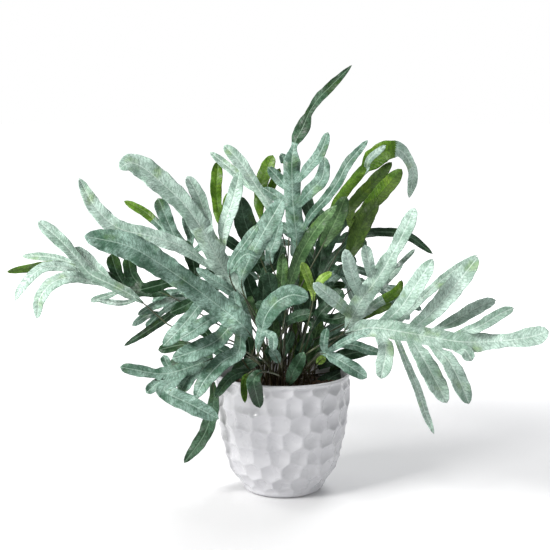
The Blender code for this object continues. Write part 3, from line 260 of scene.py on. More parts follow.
class Stalk(Ribbon):
    """A stalk that runs on as the rib of its blade, with a wing, up to the blade's end part."""

    def __init__(self, name, stalk, rib, width, wing, tilt, outline):
        points = list(stalk) + list(rib)
        super().__init__(name, points, tilt, knots=1)
        self.width = width
        self.wing = wing
        self.outline = outline
        count = 10 * len(stalk)
        self.base = self.run[min(count, len(self.run) - 1)] / self.length
        self.end = self.base
        self.knots = max(4, round(self.length / 32.0))
        self.shift = np.zeros(self.knots + 1)
        self.lobes = []

    def half(self, t):
        share = (t - self.end) / (1.0 - self.end)
        blade = 0.5 * self.width * np.interp(share, *zip(*self.outline))
        if not self.lobes:
            return np.where(t < self.base, STALK_RADIUS, blade)
        grown = np.clip((t - self.base) * self.length / WING_GROWTH, 0.0, 1.0)
        wing = STALK_RADIUS + (0.5 * self.wing - STALK_RADIUS) * grown
        close = np.clip(share / 0.12, 0.0, 1.0)
        blade = wing + (blade - wing) * close
        return np.where(t < self.base, STALK_RADIUS, np.where(t < self.end, wing, blade))

    def sideways(self, t):
        way = self.heading(t)
        return np.column_stack([-way[:, 1], way[:, 0]])

    def spread(self, t):
        return np.clip((t - self.base) * self.length / 15.0, 0.0, 1.0)

    def ripple(self, t, v):
        share = np.clip((t - self.end) / (1.0 - self.end), 0.0, 1.0)
        waves = max(1.0, (1.0 - self.end) * self.length / 26.0)
        phase = self.line[0, 0] + 1.7 * np.sign(v)
        return 1.5 * v ** 2 * np.sin(2 * math.pi * waves * share + phase) * np.minimum(share * 5.0, 1.0)

    def foot(self):
        return seen(self.line[0])[0]

    def on_side(self, side):
        """Its lobes on one side, from the lowest up."""
        return sorted((each for each in self.lobes if each.side == side), key=lambda each: each.root)


class Lobe(Ribbon):
    """One lobe of a blade. Its first point lies on the rib that carries it."""

    def __init__(self, stalk, points, width, tilt):
        super().__init__(stalk.name, points, tilt, knots=3, parent=stalk)
        self.width = width
        start = np.asarray(points[0], float)[:2]
        rib = stalk.line[:, :2]
        blade = stalk.run >= stalk.base * stalk.length
        gaps = np.where(blade, np.linalg.norm(rib - start, axis=1), 1e9)
        self.root = stalk.run[int(np.argmin(gaps))] / stalk.length
        way = stalk.heading(np.array([self.root]))[0]
        out = self.heading(np.array([0.15]))[0]
        across = way[0] * out[1] - way[1] * out[0]
        self.side = 1.0 if across > 0 else -1.0
        lead = (way @ out) / max(abs(across), 0.3)
        self.root += 0.5 * stalk.half(np.array([self.root]))[0] * lead / stalk.length
        self.reach = 0.42 * width

    def settle(self, stalk):
        """Starts the lobe's centre line at the edge of the rib's wing."""
        edge = stalk.place(np.array([self.root]), np.array([self.side]))[0]
        edge[2] -= stalk.bent(np.array([self.root]))[0]
        points = np.vstack([edge, self.line[10::10]])
        self.line = smooth_line(points)
        steps = np.linalg.norm(np.diff(self.line, axis=0), axis=1)
        self.run = np.concatenate([[0.0], np.cumsum(steps)])
        self.length = self.run[-1]
        self.along = stalk.heading(np.array([self.root]))[0]

    def half(self, t):
        return 0.5 * self.width * np.interp(t, *zip(*LOBE_OUTLINE))

    def sideways(self, t):
        way = self.heading(t)
        turned = np.column_stack([-way[:, 1], way[:, 0]]) * -self.side
        share = np.clip(t / 0.3, 0.0, 1.0)[:, None]
        share = share * share * (3.0 - 2.0 * share)
        mixed = self.along[None, :] * (1.0 - share) + turned * share
        return mixed / np.maximum(np.linalg.norm(mixed, axis=1), 1e-6)[:, None]

    def spread(self, t):
        return np.clip(t / 0.3, 0.0, 1.0)

    def ripple(self, t, v):
        waves = max(1.0, self.length / 24.0)
        phase = self.line[-1, 0] + 1.7 * np.sign(v)
        return 1.3 * v ** 2 * np.sin(2 * math.pi * waves * t + phase) * np.minimum(t * 4.0, 1.0)


def grow(name, stalk, rib, width, wing, tilt, lobes, outline):
    """Notes one frond: its stalk, its rib to the tip, and the lobes along the rib."""
    FRONDS.append((name, stalk, rib, width, wing, tilt, lobes, outline))


def rear_frond(name, bearing, reach, rise, droop):
    """Notes one frond of the plant's far side: an arch with paired lobes, set out in space.

    bearing is its heading in degrees from +X, and reach, rise and droop are the metres it goes
    out, its height above the soil at its highest, and how far its tip sinks below that.
    """
    turn = math.radians(bearing)
    out = np.array([math.cos(turn), math.sin(turn), 0.0])
    across = np.array([-out[1], out[0], 0.0])
    base = np.array([0.0, 0.0, SOIL_TOP])

    def rib_spot(share):
        high = rise * math.sin(min(1.0, share / 0.6) * math.pi / 2)
        low = droop * max(0.0, (share - 0.6) / 0.4) ** 1.6
        return base + out * (0.026 + (reach - 0.026) * share ** 1.15) + np.array([0.0, 0.0, high - low])

    lobes = []
    for number, share in enumerate(REAR_LOBES):
        size = REAR_LENGTHS[number // 2]
        way = across * (1.0 if number % 2 else -1.0) * 0.86 + out * 0.5
        root = rib_spot(share)
        points = [root]
        for step in (0.5, 1.0):
            points.append(root + way * size * step + np.array([0.0, 0.0, 0.006 - 0.016 * step]) * step)
        lobes.append(([across_up_front(spot) for spot in points], 7.5, REAR_LEAN))
    stalk = [across_up_front(rib_spot(share)) for share in (0.2, 0.36)]
    rib = [across_up_front(rib_spot(share)) for share in (0.5, 0.66, 0.82, 0.92, 1.0)]
    grow(name, stalk, rib, 8.0, REAR_WING, REAR_LEAN, lobes, LOBE_OUTLINE)


def root_spots():
    """Where the stalks stand in the soil: under their blades, drawn in, and spread apart."""
    spots = []
    for name, stalk, rib, *rest in FRONDS:
        base = seen(rib[0])[0] / MM
        spot = base[:2] * ROOT_REACH
        size = np.linalg.norm(spot)
        spots.append(spot * min(1.0, ROOT_LIMIT / max(size, 1e-6)))
    spots = np.array(spots)
    for turn in range(300):
        apart = spots[:, None, :] - spots[None, :, :]
        gaps = np.linalg.norm(apart, axis=2) + np.eye(len(spots)) * 1e3
        lack = np.clip(ROOT_SPACING - gaps, 0.0, None)
        spots += 0.4 * (apart / gaps[:, :, None] * lack[:, :, None]).sum(axis=1)
        size = np.linalg.norm(spots, axis=1)
        spots *= np.minimum(1.0, ROOT_LIMIT / np.maximum(size, 1e-6))[:, None]
    return spots


def share_wing(stalk, side):
    """Gives the lobes on one side of a rib their stretches of its wing, none on another."""
    lobes = stalk.on_side(side)
    if not lobes:
        return
    low = stalk.base * stalk.length + 3.0
    high = stalk.end * stalk.length - 0.5
    room = (high - low) / sum(2.2 * each.reach for each in lobes)
    reach = [each.reach * min(1.0, room) for each in lobes]
    spots = [each.root * stalk.length for each in lobes]
    for turn in range(200):
        for k in range(len(spots) - 1):
            lack = reach[k] + reach[k + 1] + 0.6 - (spots[k + 1] - spots[k])
            if lack > 0:
                spots[k] -= lack / 2
                spots[k + 1] += lack / 2
        spots = [min(max(spot, low + size), high - size) for spot, size in zip(spots, reach)]
    for each, spot, size in zip(lobes, spots, reach):
        each.root = spot / stalk.length
        each.reach = size


def plant():
    """All the fronds as ribbons, bent clear of each other."""
    stalks = []
    spots = root_spots()
    for spot, (name, stalk, rib, width, wing, tilt, lobes, outline) in zip(spots, FRONDS):
        foot = np.array([spot[0] * MM, spot[1] * MM, SOIL_TOP - HOLE_DEPTH + HOLE_PLAY])
        top = foot + np.array([0.0, 0.0, HOLE_DEPTH + 0.010])
        start = [across_up_front(foot), across_up_front(0.5 * (foot + top)), across_up_front(top)]
        one = Stalk(name, start + list(stalk), rib, width, wing, tilt, outline)
        for points, lobe_width, lobe_tilt in lobes:
            one.lobes.append(Lobe(one, points, lobe_width, lobe_tilt))
        if one.lobes:
            last = max(one.lobes, key=lambda each: each.root)
            one.end = min(last.root + 1.05 * last.reach / one.length, LATEST_END)
        for side in (-1.0, 1.0):
            share_wing(one, side)
        for each in one.lobes:
            each.settle(one)
        stalks.append(one)
    bend_clear(stalks)
    return stalks


def bend_clear(stalks):
    """Bends ribbons towards or away from the eye until no two of them touch.

    Each ribbon has a few knots. Points spread over all ribbons are paired where they lie
    close as the eye sees them, and the knots move till each pair is far enough apart.
    """
    ribbons = []
    for stalk in stalks:
        ribbons.append(stalk)
        ribbons.extend(stalk.lobes)
    first_knot = {}
    total = 0
    for ribbon in ribbons:
        first_knot[ribbon] = total
        total += ribbon.knots + 1
    fixed = np.zeros(total, bool)
    spots, owners, thick, weights, from_root = [], [], [], [], []
    for number, ribbon in enumerate(ribbons):
        rows = max(3, round(ribbon.length / SAMPLE_ALONG))
        low = 0.0 if ribbon.parent is None else 0.12
        for t in np.linspace(low, 1.0, rows):
            half = ribbon.half(np.array([t]))[0]
            stem = ribbon.parent is None and t < ribbon.base
            columns = 1 if stem else 1 + max(1, math.ceil(2 * half / SAMPLE_ACROSS))
            for v in (np.zeros(1) if columns == 1 else np.linspace(-1.0, 1.0, columns)):
                spots.append(ribbon.place(np.array([t]), np.array([v]))[0])
                owners.append(number)
                thick.append(STALK_RADIUS if stem else 0.5 * BLADE)
                from_root.append(t * ribbon.length)
                row = np.zeros(total)
                start = first_knot[ribbon]
                row[start:start + ribbon.knots + 1] = ribbon.bells(np.array([t]))[0]
                if ribbon.parent is not None:
                    share = row[start]
                    row[start] = 0.0
                    parent = ribbon.parent
                    start = first_knot[parent]
                    row[start:start + parent.knots + 1] += share * parent.bells(np.array([ribbon.root]))[0]
                weights.append(row)
        if ribbon.parent is None:
            fixed[first_knot[ribbon]:first_knot[ribbon] + 2] = True
    spots = np.array(spots)
    owners = np.array(owners)
    thick = np.array(thick)
    weights = np.array(weights)
    from_root = np.array(from_root)
    tree = kdtree.KDTree(len(spots))
    for k, spot in enumerate(spots):
        tree.insert((spot[0], spot[1], 0.0), k)
    tree.balance()
    pairs = []
    for k, spot in enumerate(spots):
        mine = ribbons[owners[k]]
        for other, j, gap in tree.find_range((spot[0], spot[1], 0.0), NEAR):
            if j <= k or owners[j] == owners[k]:
                continue
            its = ribbons[owners[j]]
            if mine.name == its.name and near_root(mine, from_root[k], its, from_root[j]):
                continue
            pairs.append((k, j))
    pairs = np.array(pairs)
    one, two = pairs[:, 0], pairs[:, 1]
    key = owners[one] * len(ribbons) + owners[two]
    sums = np.bincount(key, spots[one, 2] - spots[two, 2], minlength=len(ribbons) ** 2)
    order = np.where(sums[key] >= 0, 1.0, -1.0)
    need = CLEAR + thick[one] + thick[two]
    knots = np.zeros(total)
    for turn in range(ROUNDS):
        depth = spots[:, 2] + weights @ knots
        lack = need - order * (depth[one] - depth[two])
        push = np.clip(lack, 0.0, None)
        size = len(spots)
        move = np.bincount(one, order * push * push, minlength=size)
        move -= np.bincount(two, order * push * push, minlength=size)
        weight = np.bincount(one, push, minlength=size) + np.bincount(two, push, minlength=size)
        step = 0.5 * move / np.maximum(weight, 1e-9)
        active = weight > 1e-9
        strength = weights[active] * np.abs(step[active])[:, None]
        change = (strength * step[active][:, None]).sum(axis=0) / np.maximum(strength.sum(axis=0), 1e-9)
        change[fixed] = 0.0
        knots = np.clip((knots + change) * EASE, -MOST_BEND, MOST_BEND)
        if push.max() < SETTLED:
            break
    for ribbon in ribbons:
        start = first_knot[ribbon]
        ribbon.shift = knots[start:start + ribbon.knots + 1].copy()


def near_root(mine, my_run, its, its_run):
    """True where two ribbons of one frond are still close to where they join."""
    if mine.parent is None or its.parent is None:
        rib, rib_run, side, side_run = (mine, my_run, its, its_run)
        if mine.parent is not None:
            rib, rib_run, side, side_run = (its, its_run, mine, my_run)
        return side_run < 10.0 or abs(rib_run - side.root * rib.length) < side.reach + 7.0
    return my_run < 10.0 or its_run < 10.0


# Every frond in five or more lines. First its name, its width and its wing's width in millimetres,
# its lean and its outline. Then the points of its stalk and of its rib, across, up and front. Then
# for each lobe its width and its lean, and the points of its centre line.
PLANT = """
frond_far_left 14 11 0.6 lobed
-45 142 0, -78 152 2, -110 160 4, -125 171 4
-140 184 4, -157 195 6, -175 204 8, -193 213 8, -205 227 6, -223 247 2, -245 266 0
13 0.8: -171 202 8, -189 221 -4, -208 240 -12
8 1: -199 219 7, -215 225 2, -235 230 -6, -261 231 -16
10 0.8: -191 212 8, -215 219 20, -241 219 30, -261 200 38, -268 186 40
8 -0.8: -201 222 8, -228 223 10, -253 219 12, -276 215 12
13 0.7: -179 206 8, -207 210 24, -229 205 36, -243 189 44, -246 168 46
7 1: -165 199 7, -176 191 20, -193 186 30
6 1.2: -147 189 5, -163 184 20, -186 187 34

frond_left_middle 14 14 0.6 lobed
-43 147 -12, -69 165 -16, -93 179 -20
-113 191 -22, -133 197 -24, -153 198 -26, -165 212 -30, -172 233 -34
14 0.8: -143 198 -25, -152 214 -36, -155 231 -42
11 0.9: -156 200 -26, -169 203 -18, -180 215 -14
8 1: -125 195 -23, -117 203 -32, -105 204 -40

frond_left_upper 23 20 0.6 lobed
-17 155 0, -27 172 4
-37 188 8, -54 209 12, -64 226 15, -72 241 17, -82 259 18, -99 283 20, -120 303 24, -141 320 28,
-154 324 34, -164 318 40
14 0.6: -75 247 17, -77 271 8, -85 292 2, -96 311 -2
15 0.6: -67 233 15, -59 259 2, -50 287 -8, -43 316 -14
17 0.6: -60 219 13, -101 240 30, -133 251 40, -165 259 46, -188 280 44, -204 309 38
9 0.9: -45 197 10, -61 207 24, -77 206 34

frond_centre_left 27 24 0.6 lobed
-15 125 40, -21 137 52
-31 150 62, -40 161 68, -58 176 76, -91 201 90, -123 223 102, -155 241 112, -199 251 120
11 0.6: -37 157 66, -39 174 58, -45 191 50
12 0.6: -50 170 73, -47 183 68, -50 196 62
15 0.6: -77 190 84, -93 170 92, -107 154 98, -120 141 100
15 0.6: -61 178 78, -77 165 98, -90 156 108, -103 148 112
19 0.6: -45 165 70, -67 146 98, -88 136 112, -111 128 118
17 0.6: -33 152 63, -45 135 88, -61 125 104, -78 107 116, -88 88 120

frond_centre_arch 22 10 0.6 lobed
-13 119 52
-25 135 68, -22 153 80, -17 171 92, -6 185 98, 9 192 100, 26 189 100
10 0.6: -21 157 82, -10 149 96, -10 136 102

frond_top 15 17 0.6 twisted
7 152 -4, 14 187 -8, 16 215 -11
14 237 -14, 13 255 -16, 10 283 -20, 9 307 -24, 9 327 -27, 12 344 -30, 20 360 -32, 27 376 -34, 36 389 -36,
47 400 -38, 69 422 -40
11 0.6: 10 307 -24, 23 317 -14, 37 334 -6, 45 355 -2
14 0.6: 11 283 -20, 26 295 -6, 39 309 4, 42 330 6
10 0.6: 13 258 -16, 28 272 2, 44 290 12, 56 307 16, 65 324 16, 85 347 12
8 0.6: 9 323 -26, 2 324 -34, -2 334 -38
11 0.6: 9 300 -23, -3 307 -38, -15 320 -46
11 0.6: 10 280 -20, -3 288 -40, -20 299 -52
9 0.6: 13 252 -16, 4 256 -28, -7 265 -34

frond_centre_upright 20 12 0.6 lobed
-19 142 22, -32 175 32
-41 199 38, -40 213 40, -31 233 44, -21 252 46, -10 271 46, 0 288 44
9 0.6: -40 211 40, -46 219 36, -47 231 32

frond_back_pale 13 10 0.6 lobed
10 157 -34, 7 202 -50, 2 241 -60
-5 265 -66, -15 284 -74, -28 303 -84, -43 325 -94, -59 342 -102
9 0.6: -21 293 -79, -43 310 -96, -57 322 -106, -73 335 -114

frond_back_yellow 12 10 0.6 lobed
3 165 -44, -19 205 -66, -41 235 -84
-55 253 -94, -64 273 -102, -67 297 -110, -65 326 -118
8 0.6: -63 270 -101, -57 281 -90, -54 295 -84

frond_back_green 14 10 0.6 lobed
8 165 -50, -1 207 -78, -15 245 -98
-21 265 -108, -24 287 -118, -20 309 -126, -10 332 -132
8 0.6: -22 283 -116, -12 299 -130, -3 319 -138

frond_right_arch 22 10 0.6 lobed
18 157 -28, 26 205 -52, 34 243 -66
46 272 -78, 61 294 -92, 81 318 -108, 100 335 -124, 118 336 -138, 130 315 -148, 126 289 -152
7 1.2: 69 308 -98, 86 327 -92, 103 342 -88

frond_right_back 16 14 0.6 lobed
19 149 -14, 35 195 -30, 55 235 -42
66 255 -50, 75 267 -56, 89 284 -64, 105 302 -72, 119 318 -78
13 0.6: 69 258 -52, 69 281 -72, 87 301 -88, 109 325 -98

frond_green_strap 14 10 0.6 plain
-2 139 8, 2 172 16
5 193 20, 9 209 24, 17 231 30, 29 252 36, 42 269 40, 54 282 42

frond_dark_star 9 11 0.6 lobed
17 139 -18, 28 172 -26
34 194 -30, 38 209 -34, 47 225 -38, 60 239 -44, 77 252 -50, 102 255 -58, 125 251 -64, 150 233 -66
12 0.6: 40 214 -36, 38 232 -48, 40 252 -56
11 0.6: 36 203 -33, 29 218 -24, 22 232 -20
9 0.6: 45 222 -38, 55 217 -28, 67 212 -22
9 0.6: 36 201 -32, 49 201 -20, 63 202 -14

frond_right_middle 15 18 0.6 lobed
29 127 22, 47 142 30
62 157 36, 69 169 40, 80 189 46, 97 212 52, 111 236 56, 122 257 58, 132 279 58
12 0.6: 93 207 50, 86 223 58, 82 242 62
14 0.6: 81 190 46, 70 209 62, 62 238 70
14 0.6: 71 172 41, 54 185 58, 30 204 68
10 0.6: 71 172 41, 93 183 30, 113 195 24, 119 207 22
9 0.6: 84 195 47, 104 208 36, 120 225 30
5 1.2: 103 222 53, 119 225 46, 132 238 42

leaf_centre_yellow 9 10 0.6 lobed
18 137 36, 26 167 50
30 186 56, 29 199 60, 24 213 66, 19 225 70
8 0.6: 30 194 58, 38 207 66, 49 215 70

frond_right_big 20 18 0.6 waisted
19 127 42, 39 143 54
62 153 62, 87 159 70, 114 156 78, 147 150 88, 181 145 96, 217 146 102, 247 150 106, 266 156 108
18 0.6: 102 158 75, 119 181 92, 135 205 102, 150 228 106
9 0.6: 108 157 76, 137 187 64, 165 212 54, 194 232 46
20 0.6: 129 153 83, 153 179 92, 175 205 92, 195 230 86
14 0.6: 151 149 89, 173 167 84, 195 180 78, 213 187 74
12 0.6: 172 146 94, 195 160 92, 217 173 88, 231 179 84
19 0.6: 129 153 83, 140 129 104, 153 105 114, 164 84 114
17 0.6: 151 149 89, 165 127 108, 177 105 118, 186 83 118
13 0.6: 172 146 94, 182 137 108, 189 126 114
17 0.6: 97 159 73, 103 137 92, 98 108 98
8 0.6: 115 155 78, 124 123 72, 135 97 64, 142 75 60, 151 53 58

frond_right_low 14 10 0.6 lobed
20 117 50, 29 127 64
37 134 74, 52 129 84, 69 119 94, 84 109 98
8 0.6: 41 133 76, 63 146 96, 89 158 106
9 0.6: 37 134 74, 41 146 86, 44 159 92

leaf_right_low 10 10 0.6 plain
25 121 36, 41 135 50
54 141 56, 70 142 60, 86 137 62, 101 133 62

frond_left_low 12 14 0.6 lobed
-21 119 46, -37 131 62, -55 132 72
-71 128 80, -87 122 86, -105 116 92, -121 113 96, -142 116 100, -163 120 102
9 0.6: -111 115 93, -116 123 84, -120 132 78
11 0.6: -113 115 94, -125 104 104, -137 94 108
18 0.6: -99 117 90, -119 97 116, -93 83 126, -64 68 126
15 0.6: -85 123 86, -95 109 98, -103 95 102

leaf_left_hanging 14 10 0.6 plain
-43 130 16, -57 135 22, -67 125 26
-70 105 28, -69 89 30, -72 71 32, -80 50 34, -99 24 36

leaf_rim_left 11 10 0.6 plain
-16 116 48
-31 115 63, -43 114 72, -55 107 78, -68 89 81

leaf_rim_front 15 10 0.6 plain
-5 112 55
-21 115 68, -29 107 76, -27 94 79, -23 79 79

leaf_rim_yellow 7 10 0.6 plain
-25 117 48
-35 113 72, -39 104 86, -38 84 92

leaf_rim_middle 13 10 0.6 plain
-9 113 4
-21 125 10, -36 123 9, -52 114 8

leaf_soil_dark 14 10 0.6 plain
none
5 103 50, 11 116 54, 17 127 56, 21 135 56

leaf_soil_yellow 8 10 0.6 plain
25 107 28, 31 117 34
34 123 36, 38 127 38, 43 130 40

leaf_low_1 12 10 0.6 plain
-4 118 6
-3 128 8, 1 138 10, 6 147 10, 9 156 8

leaf_low_2 12 10 0.6 plain
10 118 2
13 128 2, 18 138 0, 24 147 -2, 28 155 -4

leaf_low_3 11 10 0.6 plain
-12 116 20
-14 125 24, -13 134 28, -9 143 30

leaf_low_4 12 10 0.6 plain
26 116 12
32 125 14, 40 133 14, 49 139 12

leaf_low_5 13 10 0.6 plain
2 130 -14, 2 150 -18
0 165 -20, -5 180 -22, -12 195 -24

leaf_low_6 13 10 0.6 plain
14 130 -10, 20 150 -16
24 166 -20, 27 182 -24, 28 198 -28

leaf_low_7 13 10 0.6 plain
-14 132 -6, -22 152 -10
-28 168 -12, -34 184 -14, -42 198 -14

leaf_low_8 12 10 0.6 plain
32 125 -10
42 138 -14, 54 148 -18, 66 154 -22

leaf_low_9 10 10 0.6 plain
-2 116 34
-4 124 40, -8 132 44, -14 138 44

frond_left_strap 8 10 1 plain
-31 145 -14, -53 172 -24, -71 187 -30
-85 189 -34, -101 180 -38, -131 159 -42, -159 141 -44

frond_left_back 15 12 0.6 lobed
-19 155 -42, -45 189 -62, -69 217 -78
-84 230 -86, -98 238 -90, -110 254 -96, -118 272 -102, -125 289 -106
9 0.6: -105 246 -93, -123 261 -104, -139 275 -114, -159 286 -120
10 0.6: -96 237 -90, -119 244 -98, -138 256 -104
8 0.6: -94 235 -89, -93 252 -84, -100 271 -80
8 0.6: -80 227 -85, -81 244 -78, -93 261 -74

frond_left_inner 11 10 0.6 plain
-19 145 14, -30 167 20
-40 184 24, -51 195 26, -68 206 28, -87 219 28

frond_centre_mint 10 10 0.6 lobed
-20 140 30, -35 167 44, -46 193 52
-53 210 55, -51 225 58, -38 244 62, -25 262 64
9 0.6: -53 215 56, -45 226 66, -36 233 72, -25 229 74

frond_left_shade 16 14 0.6 lobed
-27 142 6, -45 165 10
-59 182 12, -77 195 14, -97 207 16, -117 223 16, -136 237 14
12 0.6: -83 198 14, -93 184 26, -113 174 34
12 0.6: -103 211 16, -120 203 26, -143 197 32
13 0.6: -91 204 15, -90 225 4, -99 247 -4
12 0.6: -71 190 13, -67 211 4, -71 231 -2

frond_left_under 15 13 0.6 lobed
-23 123 22, -40 137 30
-56 144 36, -73 142 40, -91 135 44, -109 120 46, -121 101 46
12 0.6: -69 143 39, -81 157 32, -101 165 28
11 0.6: -87 137 43, -103 142 38, -125 137 36
13 0.6: -76 141 41, -76 124 52, -84 106 56

frond_centre_dark 15 12 0.6 lobed
0 123 8, 2 141 12
1 157 14, -3 176 16, -11 195 18, -15 215 18
12 0.6: 0 161 14, 15 171 22, 30 174 26
11 0.6: -2 172 16, -15 180 24, -28 183 28
11 0.6: -7 186 17, 5 197 10, 15 211 6

frond_centre_right 14 12 0.6 lobed
16 122 0, 23 140 2
28 156 4, 36 172 6, 48 185 8, 60 197 8
11 0.6: 30 160 4, 18 174 14, 13 188 18
11 0.6: 40 177 7, 39 191 0, 33 204 -4
12 0.6: 36 171 6, 53 168 16, 69 174 20

frond_centre_back 14 13 0.6 lobed
-2 155 -12, -10 185 -18
-17 205 -22, -26 225 -26, -36 247 -30, -43 271 -32
12 0.6: -21 213 -23, -7 225 -32, 0 242 -38
12 0.6: -29 231 -27, -19 247 -36, -15 265 -42
11 0.6: -24 220 -25, -39 219 -16, -54 225 -12
11 0.6: -33 239 -29, -47 241 -20, -60 250 -18

frond_right_inner 14 13 0.6 lobed
16 155 -42, 25 189 -58
33 216 -70, 42 236 -80, 53 257 -90, 68 277 -98
12 0.6: 36 222 -73, 25 239 -84, 21 257 -92
12 0.6: 46 243 -84, 39 260 -96, 36 279 -104
12 0.6: 38 227 -75, 56 231 -66, 74 225 -62
11 0.6: 49 249 -87, 68 250 -80, 84 241 -76
"""


def points_of(text):
    """The points of one line of the table."""
    return [tuple(float(part) for part in spot.split()) for spot in text.split(",") if spot != "none"]


for block in PLANT.replace(",\n", ",").strip().split("\n\n"):
    first, stem, middle_rib, *sides = block.splitlines()
    title, wide, winged, lean, shape = first.split()
    grow(title, points_of(stem), points_of(middle_rib), float(wide), float(winged), float(lean),
         [(points_of(spots), *(float(part) for part in size.split())) for size, spots in
          (line.split(":") for line in sides)], OUTLINES[shape])
for number, (bearing, reach, rise, droop) in enumerate(REAR_FRONDS):
    rear_frond(f"frond_rear_{number + 1}", bearing, reach, rise, droop)


def outer_radius(height):
    heights, radii = zip(*POT_PROFILE)
    return float(np.interp(height, heights, radii))


def inner_radius(height):
    """The pot's inside, which runs straight between the heights of its rings."""
    heights = sorted(INSIDE_HEIGHTS)
    radii = [outer_radius(each) - POT_WALL for each in heights]
    return float(np.interp(height, heights, radii))


def frill(ribbon, t, v):
    """Small waves that only the fine leaf has: across its edge and along its outline."""
    run = t * ribbon.length
    seed = 0.37 * ribbon.line[-1, 0] + 1.9 * np.sign(v)
    edge = v ** 2 * np.minimum(run / 12.0, 1.0)
    wave = np.sin(2 * math.pi * run / FRILL_LENGTH + seed)
    wave += 0.5 * np.sin(2 * math.pi * run / (0.43 * FRILL_LENGTH) + 2.1 * seed)
    depth = FRILL_DEPTH * edge * wave
    groove = RIB_GROOVE * np.exp(-(v / 0.1) ** 2)
    half = ribbon.half(t)
    open_up = np.minimum(run / 15.0, 1.0)
    fold = FOLD * half * open_up * (np.abs(v) - 0.5)
    twist = TWIST * half * v * open_up * np.sin(2 * math.pi * run / TWIST_LENGTH + 3.1 * seed)
    return depth - groove + fold + twist


def fine_place(ribbon, t, v):
    """A point of the fine leaf, as millimetres across, up and front."""
    t = np.array([t])
    v = np.array([v])
    run = t * ribbon.length
    seed = 0.53 * ribbon.line[-1, 1] + 2.3 * np.sign(v)
    grown = np.minimum(run / 10.0, 1.0) * (t < 0.97)
    wave = np.sin(2 * math.pi * run / SCALLOP_LENGTH + seed)
    wave += 0.6 * np.sin(2 * math.pi * run / (0.47 * SCALLOP_LENGTH) + 1.7 * seed)
    scallop = 1.0 + SCALLOP * grown * np.abs(v) * wave
    spot = ribbon.place(t, v * scallop)[0]
    spot[2] += frill(ribbon, t, v)[0]
    return spot


class Sheet:
    """Vertices and triangles of one blade, with a place across and along for each corner."""

    def __init__(self):
        self.spots = []
        self.faces = []

    def vertex(self, ribbon, t, v, key=None):
        self.spots.append(fine_place(ribbon, t, v))
        return self.item(ribbon, t, v, len(self.spots) - 1, key)

    def item(self, ribbon, t, v, index, key=None):
        half = ribbon.half(np.array([t]))[0]
        return (t if key is None else key, index, (v * half, t * ribbon.length, v, t))

    def strip(self, ribbon, row, start, rows):
        for number in range(1, rows + 1):
            t = start + (1.0 - start) * number / rows
            if number == rows:
                fresh = [self.vertex(ribbon, 1.0, 0.0, 0.0)]
            else:
                fresh = [self.vertex(ribbon, t, v, v) for v in FINE_COLUMNS]
            self.zip(ribbon, row, fresh)
            row = fresh

    def zip(self, ribbon, one, two):
        """Triangles between two rows, taken in the order of their keys."""
        i = j = 0
        while i < len(one) - 1 or j < len(two) - 1:
            take_one = j == len(two) - 1
            if not take_one and i < len(one) - 1:
                take_one = one[i + 1][0] <= two[j + 1][0]
            if take_one:
                self.faces.append((ribbon, one[i], one[i + 1], two[j]))
                i += 1
            else:
                self.faces.append((ribbon, one[i], two[j + 1], two[j]))
                j += 1


def fine_blade(stalk):
    """The whole fine blade of a frond: rib and wing, the end part, and every lobe."""
    sheet = Sheet()
    wing_rows = max(2, round((stalk.end - stalk.base) * stalk.length / FINE_STEP))
    end_rows = max(6, round((1.0 - stalk.end) * stalk.length / FINE_STEP))
    chains = {}
    roots = {}
    inner = [v for v in FINE_COLUMNS if 0.0 < v < 1.0]
    for side in (-1.0, 1.0):
        lobes = stalk.on_side(side)
        chain = [sheet.vertex(stalk, stalk.base, side)]
        free = stalk.base
        for each in lobes:
            size = each.reach / stalk.length
            gap = (each.root - size - free) * stalk.length
            for t in np.linspace(free, each.root - size, max(2, round(gap / FINE_STEP)))[1:-1]:
                chain.append(sheet.vertex(stalk, t, side))
            row = []
            for v in FINE_COLUMNS:
                t = each.root + v * size
                made = sheet.vertex(stalk, t, side)
                chain.append(made)
                row.append((v, made[1], (v * each.half(np.array([0.0]))[0], 0.0, v, 0.0)))
            roots[each] = row
            free = each.root + size
        if stalk.lobes:
            gap = (stalk.end - free) * stalk.length
            for t in np.linspace(free, stalk.end, max(2, round(gap / FINE_STEP)))[1:-1]:
                chain.append(sheet.vertex(stalk, t, side))
            chain.append(sheet.vertex(stalk, stalk.end, side))
        chains[side] = chain
    middle = [sheet.vertex(stalk, stalk.base, 0.0)]
    last = {}
    if stalk.lobes:
        for t in np.linspace(stalk.base, stalk.end, wing_rows + 1)[1:]:
            middle.append(sheet.vertex(stalk, t, 0.0))
        for side in (-1.0, 1.0):
            row = [sheet.vertex(stalk, stalk.end, side * v) for v in reversed(inner)]
            last[side] = row
            shares = [made[0] for made in chains[side]]
            keys = shares + [stalk.end + 1e-5 * (k + 1) for k in range(len(row))]
            ended = [(key, made[1], made[2]) for key, made in zip(keys, chains[side] + row)]
            centre = [(made[0] + (1e-3 if made is middle[-1] else 0.0), made[1], made[2]) for made in middle]
            sheet.zip(stalk, ended, centre)
    else:
        for side in (-1.0, 1.0):
            last[side] = []
    row = [(-1.0, *chains[-1.0][-1][1:])]
    row += [(-v, *made[1:]) for v, made in zip(reversed(inner), last[-1.0])]
    row += [(0.0, *middle[-1][1:])]
    row += [(v, *made[1:]) for v, made in reversed(list(zip(reversed(inner), last[1.0])))]
    row += [(1.0, *chains[1.0][-1][1:])]
    sheet.strip(stalk, row, stalk.end, end_rows)
    for each, row in roots.items():
        sheet.strip(each, row, 0.0, max(6, round(each.length / FINE_STEP)))
    return sheet


